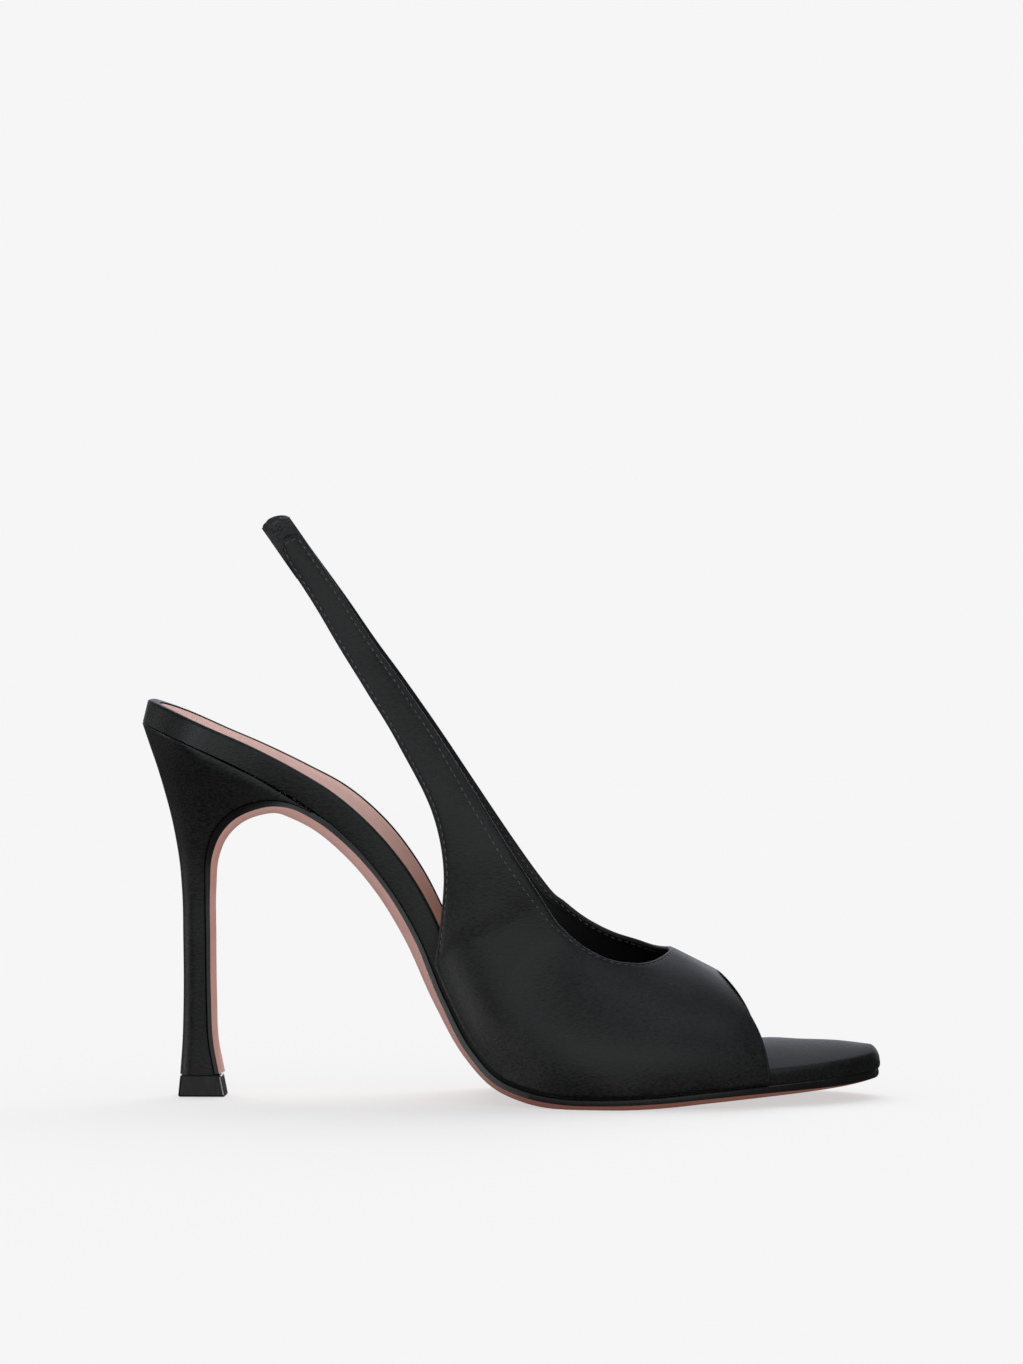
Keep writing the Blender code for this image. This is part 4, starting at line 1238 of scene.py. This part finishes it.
    def surface(self) -> None:
        """Lay out the outer face and its normals, by rib and by point along the rib."""
        self.u = self.places()
        self.place = np.minimum(self.u, FAR_END - self.u)
        outs = np.array([self.rib_frame(u)[2] for u in self.u])
        reach = self.corner_reach()[:, None]
        outs += reach * (self.blur(outs) - outs)
        outs /= np.linalg.norm(outs, axis=1, keepdims=True)
        self.face = self.fair(np.array([self.rib(u, out) for u, out in zip(self.u, outs)]))
        self.normals = self.outward(self.face)
        self.from_throat = np.full(self.face.shape[1], self.off_edge)
        self.from_throat[:len(self.edge_steps)] = self.edge_steps
        self.from_outer = self.from_throat[::-1]

    def edge_turn(self) -> np.ndarray:
        """How far the faces turn in at the folded edges, for each point along a rib."""
        bend = self.wall / 2
        nearest = np.minimum(np.minimum(self.from_throat, self.from_outer), bend)
        return bend - np.sqrt(bend ** 2 - (bend - nearest) ** 2)

    def seam_dip(self) -> np.ndarray:
        """Depth of the stitched seams, by rib and by point: throat, back edges and toe edge."""
        seam = self.edge_steps[self.seam_step]
        throat = np.exp(-((self.from_throat - seam) / self.seam_width) ** 2)
        outer = np.exp(-((self.from_outer - seam) / self.seam_width) ** 2)
        left_back = smooth_step((self.place - 1.0) / self.seam_fade + 1.0)
        on_toe = smooth_step((self.place - 2.0) / self.seam_fade)
        on_edge = 1.0 - left_back * (1.0 - on_toe)
        return self.seam_depth * (throat[None, :] + on_edge[:, None] * outer[None, :])

    def wall_faces(self) -> tuple[np.ndarray, np.ndarray]:
        """The finished outer and inner faces, by rib and by point."""
        span, least = self.end_wall
        end = np.clip(least + (1.0 - least) * self.place / span, 0.0, 1.0)
        thick = np.sqrt(1.0 - (1.0 - end) ** 2)[:, None]
        turn = self.edge_turn()[None, :]
        middle = self.wall / 2
        outer_depth = middle - (middle - turn) * thick + self.seam_dip()
        binding = self.edge_steps[self.binding_step]
        binding_fade, edge_fade = self.lining_fade
        lining = smooth_step((self.from_throat - binding) / binding_fade)
        lining *= smooth_step(self.from_outer / edge_fade)
        inner_depth = middle + (middle - turn) * thick - self.lining_step * lining[None, :]
        drawn = self.edge_roll() + self.waist_pinch()
        outer = self.face - self.normals * (outer_depth + drawn)[:, :, None]
        inner = self.face - self.normals * (inner_depth + drawn)[:, :, None]
        return outer, inner

    def build(self) -> Piece:
        """Make and dress the upper: satin outside and on the binding, lining inside."""
        self.surface()
        self.outside, self.inside = self.wall_faces()
        rings = np.concatenate((self.outside, self.inside[:, -2:0:-1]), axis=1)
        slots = np.zeros(rings.shape[1], dtype=int)
        slots[self.face.shape[1] + self.lining_start:len(slots) - self.binding_step] = 1
        piece = Bench.loft("upper_satin", rings, slots)
        return Bench.dress(piece, [SATIN, LINING], "satin", ["upper"])


@dataclass
class Stitching:
    """The seams of the upper: one stitch, copied along each line of stitches."""

    upper: Upper
    pitch: float = 2.1
    length: float = 1.45
    breadth: float = 0.34
    height: float = 0.3
    stand: float = 0.02
    end_place: float = 0.012
    seam_end: float = 0.985
    reach: float = 0.4
    segments: int = 8
    rings: int = 6

    def lines(self) -> dict[str, list[tuple[np.ndarray, np.ndarray]]]:
        """Points and normals of each line of stitches, by the piece that holds them."""
        upper = self.upper
        seam = upper.seam_step
        last = upper.face.shape[1] - 1 - seam
        arm = (upper.u >= self.end_place) & (upper.u <= self.seam_end)
        far_arm = (upper.u <= FAR_END - self.end_place) & (upper.u >= FAR_END - self.seam_end)
        whole = (upper.u >= self.end_place) & (upper.u <= FAR_END - self.end_place)
        ends = [int(np.argmax(whole)), len(upper.u) - 1 - int(np.argmax(whole[::-1]))]
        across = slice(seam + 1, last)
        face, normals = upper.outside, upper.normals
        outside = [(face[whole, seam], normals[whole, seam]), (face[arm, last], normals[arm, last]),
                   (face[far_arm, last], normals[far_arm, last])]
        outside += [(face[end, across], normals[end, across]) for end in ends]
        inside = [(upper.inside[whole, seam], -normals[whole, seam])]
        return {"outer_stitches": outside, "lining_stitches": inside}

    def stitch(self) -> Piece:
        """One stitch: a ball drawn out along X and flattened."""
        Bench.clear()
        bpy.ops.mesh.primitive_uv_sphere_add(segments=self.segments, ring_count=self.rings, radius=1.0)
        stitch = bpy.context.object
        bpy.ops.object.mode_set(mode="EDIT")
        bpy.ops.mesh.select_all(action="SELECT")
        bpy.ops.transform.rotate(value=math.pi / 2, orient_axis="Y", center_override=(0.0, 0.0, 0.0))
        half = (self.length / 2 * MM, self.breadth / 2 * MM, self.height / 2 * MM)
        bpy.ops.transform.resize(value=half, center_override=(0.0, 0.0, 0.0))
        bpy.ops.object.mode_set(mode="OBJECT")
        bpy.ops.object.shade_smooth()
        return stitch

    def spots(self, points: np.ndarray, normals: np.ndarray) -> list[Matrix]:
        """Places of the stitches along one line.

        Args:
            points: the line, in millimetres.
            normals: the way out of the surface at each point.

        Returns:
            A matrix for each stitch, its X along the line and its Z out of the surface.
        """
        run = run_along(points)
        count = max(1, round(run[-1] / self.pitch))
        spots = []
        for s in (np.arange(count) + 0.5) * run[-1] / count:
            here, ahead = (read_line(place, run, points) for place in (s, s + self.reach))
            out = read_line(s, run, normals)
            if s + self.reach > run[-1]:
                ahead = here + here - read_line(s - self.reach, run, points)
            along = Vector(ahead - here).normalized()
            across = Vector(out).cross(along).normalized()
            up = along.cross(across)
            where = Vector((here + out * self.stand + SHIFT) * MM)
            spots.append(Matrix.Translation(where) @ Matrix((along, across, up)).transposed().to_4x4())
        return spots

    def build(self) -> list[Piece]:
        """Make and dress each line's stitches, joined into one piece."""
        pieces = []
        model = self.stitch()
        for name, lines in self.lines().items():
            copies = []
            for points, normals in lines:
                for spot in self.spots(points, normals):
                    copy = bpy.data.objects.new(name, model.data.copy())
                    copy.matrix_world = spot
                    bpy.context.scene.collection.objects.link(copy)
                    copies.append(copy)
            Bench.clear()
            for copy in copies:
                copy.select_set(True)
            bpy.context.view_layer.objects.active = copies[0]
            bpy.ops.object.join()
            Bench.settle(copies[0])
            copies[0].name = copies[0].data.name = name
            pieces.append(Bench.dress(copies[0], [THREAD], "satin"))
        bpy.data.objects.remove(model)
        return pieces


class BandSection(NamedTuple):
    """One section of the elastic: its middle, the way across it, its share of the loop and its bulge."""

    middle: np.ndarray
    across: np.ndarray
    loop: float
    bulge: np.ndarray


@dataclass
class Elastic:
    """The crinkled elastic that runs from behind one arm's end round to the other.

    laps are the places behind the arm where it lies. crown and skew shape the loop across, bow is how
    much of the arm's bulge its edges lack, and waves are the height, the number across and the number
    along of what bends the crinkles.
    """

    upper: Upper
    thickness: float = 1.2
    width: float = 8.0
    gap: float = 0.03
    laps: tuple[float, ...] = (0.08, 0.06, 0.04, 0.02, 0.0)
    loop: float = 7.6
    crown: float = 1.4
    skew: float = 1.0
    loop_steps: int = 60
    rings_each: int = 3
    crinkle: float = 0.5
    crinkle_pitch: float = 2.1
    bow: float = 0.48
    waves: tuple[Row, ...] = ((0.4, 3.1, 0.9), (0.25, 7.0, 0.0))
    edge_power: int = 12
    edge_least: float = 0.04
    points: int = 15

    def behind_arm(self, u: float) -> BandSection:
        """The section behind an arm, which has no loop and the arm's bulge."""
        start, end, out, _ = self.upper.rib_frame(u)
        width = (end - start) / np.linalg.norm(end - start)
        depth = self.upper.wall + self.gap + self.thickness / 2
        middle = (start + end) / 2 - out * depth
        return BandSection(middle, width, 0.0, out * self.upper.throat.at("bulge", u))

    def sections(self) -> tuple[list[BandSection], np.ndarray]:
        """The sections from one arm to the other, and the way out of the loop."""
        near = [self.behind_arm(u) for u in self.laps]
        far = [self.behind_arm(FAR_END - u) for u in self.laps[::-1]]
        start, end = near[-1], far[0]
        way = self.upper.rib_frame(FAR_END)[3] - self.upper.rib_frame(0.0)[3]
        way[1] = 0.0
        way /= np.linalg.norm(way)
        turns = []
        for turn in np.linspace(0.0, math.pi, self.loop_steps + 1)[1:-1]:
            share = (1.0 - math.cos(turn)) / 2
            middle = start.middle + (end.middle - start.middle) * share + way * self.loop * math.sin(turn)
            across = start.across + (end.across - start.across) * share
            bulge = (start if share < 0.5 else end).bulge * (1.0 - math.sin(turn))
            turns.append(BandSection(middle, across, math.sin(turn), bulge))
        return near + turns + far, way

    def build(self) -> Piece:
        """Make and dress the band, crinkled but for its ends, which follow the arms."""
        coarse, way = self.sections()
        index = np.arange(len(coarse))
        fine = refine(index, self.rings_each)
        parts = [np.array(part) for part in zip(*coarse)]
        middles, widths, bulges = (read_line(fine, index, parts[i]) for i in (0, 1, 3))
        shares = np.interp(fine, index, parts[2])
        outs = np.cross(np.gradient(middles, axis=0), widths)
        outs /= np.linalg.norm(outs, axis=1, keepdims=True)
        travel = run_along(middles)
        w = np.linspace(-1.0, 1.0, self.points)
        rings = []
        for middle, width, share, bulge, out, run in zip(middles, widths, shares, bulges, outs, travel):
            swell = self.crown * (1.0 - w * w) - self.skew * (1.0 - w) / 2
            band = middle + width * (w * self.width / 2)[:, None] + way * (share * swell)[:, None]
            band += bulge * (1.0 - self.bow * w * w)[:, None]
            bends = [height * np.sin(by_w * w + by_run * run) for height, by_w, by_run in self.waves]
            phase = run / self.crinkle_pitch + sum(bends)
            crinkle = self.crinkle * min(2.0 * share, 1.0)
            raised = crinkle * (0.5 + 0.5 * np.cos(2.0 * math.pi * phase))
            edge = np.maximum(1.0 - np.abs(w) ** self.edge_power, self.edge_least)
            half = self.thickness / 2 * np.sqrt(edge)
            lift = (half - crinkle + raised)[:, None]
            rings.append(np.concatenate((band - out * lift, (band + out * lift)[::-1])))
        piece = Bench.loft("elastic_band", np.array(rings))
        return Bench.dress(piece, [ELASTIC_KNIT], "elastic", ["back_elastic"])


@dataclass
class TopLift:
    """The moulded top lift under the heel, whose solid is kept."""

    node: str = "top_lift"

    def build(self) -> Piece:
        """Give the solid its glossy plastic."""
        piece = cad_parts[self.node]
        piece.data.materials.clear()
        piece.data.materials.append(LIFT_PLASTIC.material())
        log.info("%s: solid kept", piece.name)
        return piece


@dataclass(frozen=True)
class SoftBox:
    """A lit panel that shows only where it is mirrored: its place, what it faces, its size and power."""

    name: str
    at: Row
    aim: Row
    size: Row
    power: float
    tint: Row = WHITE


@dataclass
class Studio:
    """A pale floor, plain soft light and the camera."""

    camera_at: tuple[float, float, float] = (38.70, -1231.39, 113.3)
    camera_turn: float = 1.8
    lens: float = 118.9
    sensor: float = 36.0
    clip: tuple[float, float] = (0.05, 50.0)
    backdrop: float = 0.921
    ambient: float = 0.62
    mirrored: float = 0.06
    sun: float = 2.4
    sun_width: float = 60.0
    sun_lean: float = 40.0
    floor: float = 8000.0
    boxes: tuple[SoftBox, ...] = (
        SoftBox("back_box", (60.0, 1300.0, 720.0), (0.0, 0.0, 60.0), (1800.0, 1500.0), 17.0,
                (0.92, 0.96, 1.1)),
        SoftBox("top_box", (0.0, 200.0, 1300.0), (20.0, 0.0, 40.0), (900.0, 700.0), 3.0),
        SoftBox("front_box", (0.0, -1500.0, 470.0), (0.0, 0.0, 60.0), (1900.0, 800.0), 45.0,
                (0.98, 1.0, 0.99)),
        SoftBox("left_box", (-980.0, -1200.0, 720.0), (-80.0, 0.0, 90.0), (400.0, 400.0), 8.0, COOL),
        SoftBox("low_left_box", (-1200.0, 110.0, 170.0), (0.0, 0.0, 30.0), (500.0, 300.0), 12.0),
        SoftBox("low_right_box", (831.0, -1127.0, 134.0), (-78.0, -5.0, 8.0), (200.0, 160.0), 2.2),
        SoftBox("quarter_card", (-72.0, -42.0, 14.0), (-12.0, -28.0, 24.0), (30.0, 26.0), 0.048),
        SoftBox("seat_card", (-107.0, -75.0, 128.0), (-86.0, -22.0, 106.0), (30.0, 20.0), 0.036, COOL),
        SoftBox("right_box", (560.0, -400.0, 1050.0), (50.0, 0.0, 30.0), (600.0, 600.0), 12.0, COOL),
    )

    def make_floor(self) -> None:
        """Lay the floor, which the shoe doesn't mirror."""
        Bench.clear()
        bpy.ops.mesh.primitive_plane_add(size=self.floor * MM)
        floor = bpy.context.object
        floor.name = "floor"
        floor.data.materials.append(FLOOR_PAPER.material())
        floor.visible_glossy = False

    def make_world(self) -> None:
        """Light all round: pale to the camera and on matt faces, dim where it is mirrored."""
        bpy.context.scene.view_settings.view_transform = "Standard"
        world = bpy.data.worlds.new("studio")
        bpy.context.scene.world = world
        world.use_nodes = True
        tree = world.node_tree
        rays = tree.nodes.new("ShaderNodeLightPath")
        level = self.ambient
        back = tree.nodes["Background"]
        back.inputs["Color"].default_value = (1.0, 1.0, 1.0, 1.0)
        for ray, value in (("Is Camera Ray", self.backdrop), ("Is Glossy Ray", self.mirrored)):
            add = Effects.add(tree, "ShaderNodeMath", {"operation": "MULTIPLY_ADD"})
            tree.links.new(rays.outputs[ray], add.inputs[0])
            add.inputs[1].default_value = value - self.ambient
            if isinstance(level, float):
                add.inputs[2].default_value = level
            else:
                tree.links.new(level, add.inputs[2])
            level = add.outputs[0]
        tree.links.new(level, back.inputs["Strength"])

    def make_lights(self) -> None:
        """Hang a wide sun for the matt faces and the soft boxes for the glossy ones."""
        sun = bpy.data.lights.new("sky", "SUN")
        sun.energy = self.sun
        sun.angle = math.radians(self.sun_width)
        sky = bpy.data.objects.new("sky", sun)
        sky.rotation_euler = (-math.radians(self.sun_lean), 0.0, 0.0)
        sky.visible_glossy = False
        bpy.context.scene.collection.objects.link(sky)
        for box in self.boxes:
            light = bpy.data.lights.new(box.name, "AREA")
            light.shape = "RECTANGLE"
            light.size, light.size_y = (side * MM for side in box.size)
            light.energy = box.power
            light.color = box.tint
            lamp = bpy.data.objects.new(box.name, light)
            lamp.location = Vector(box.at) * MM
            lamp.rotation_euler = (Vector(box.aim) - Vector(box.at)).to_track_quat("-Z", "Y").to_euler()
            lamp.visible_diffuse = False
            lamp.visible_camera = False
            bpy.context.scene.collection.objects.link(lamp)

    def make_camera(self) -> None:
        """Set the camera level, at the photograph's angle."""
        data = bpy.data.cameras.new("camera")
        data.lens = self.lens
        data.sensor_width = self.sensor
        data.sensor_fit = "AUTO"
        data.clip_start, data.clip_end = self.clip
        camera = bpy.data.objects.new("camera", data)
        camera.location = Vector((np.array(self.camera_at) + SHIFT) * MM)
        camera.rotation_euler = (math.pi / 2, 0.0, math.radians(self.camera_turn))
        bpy.context.scene.collection.objects.link(camera)
        bpy.context.scene.camera = camera

    def build(self) -> None:
        """Set up the studio."""
        self.make_floor()
        self.make_world()
        self.make_lights()
        self.make_camera()


def main() -> None:
    """Build the shoe piece by piece, then the studio."""
    logging.basicConfig(level=logging.INFO, format="%(name)s: %(message)s")
    last = Last()
    Board(last).build()
    Sock(last).build()
    Outsole(last).build()
    Heel(last).build()
    TopLift().build()
    upper = Upper(last)
    upper.build()
    Elastic(upper).build()
    Stitching(upper).build()
    Studio().build()


if __name__ == "__main__":
    main()
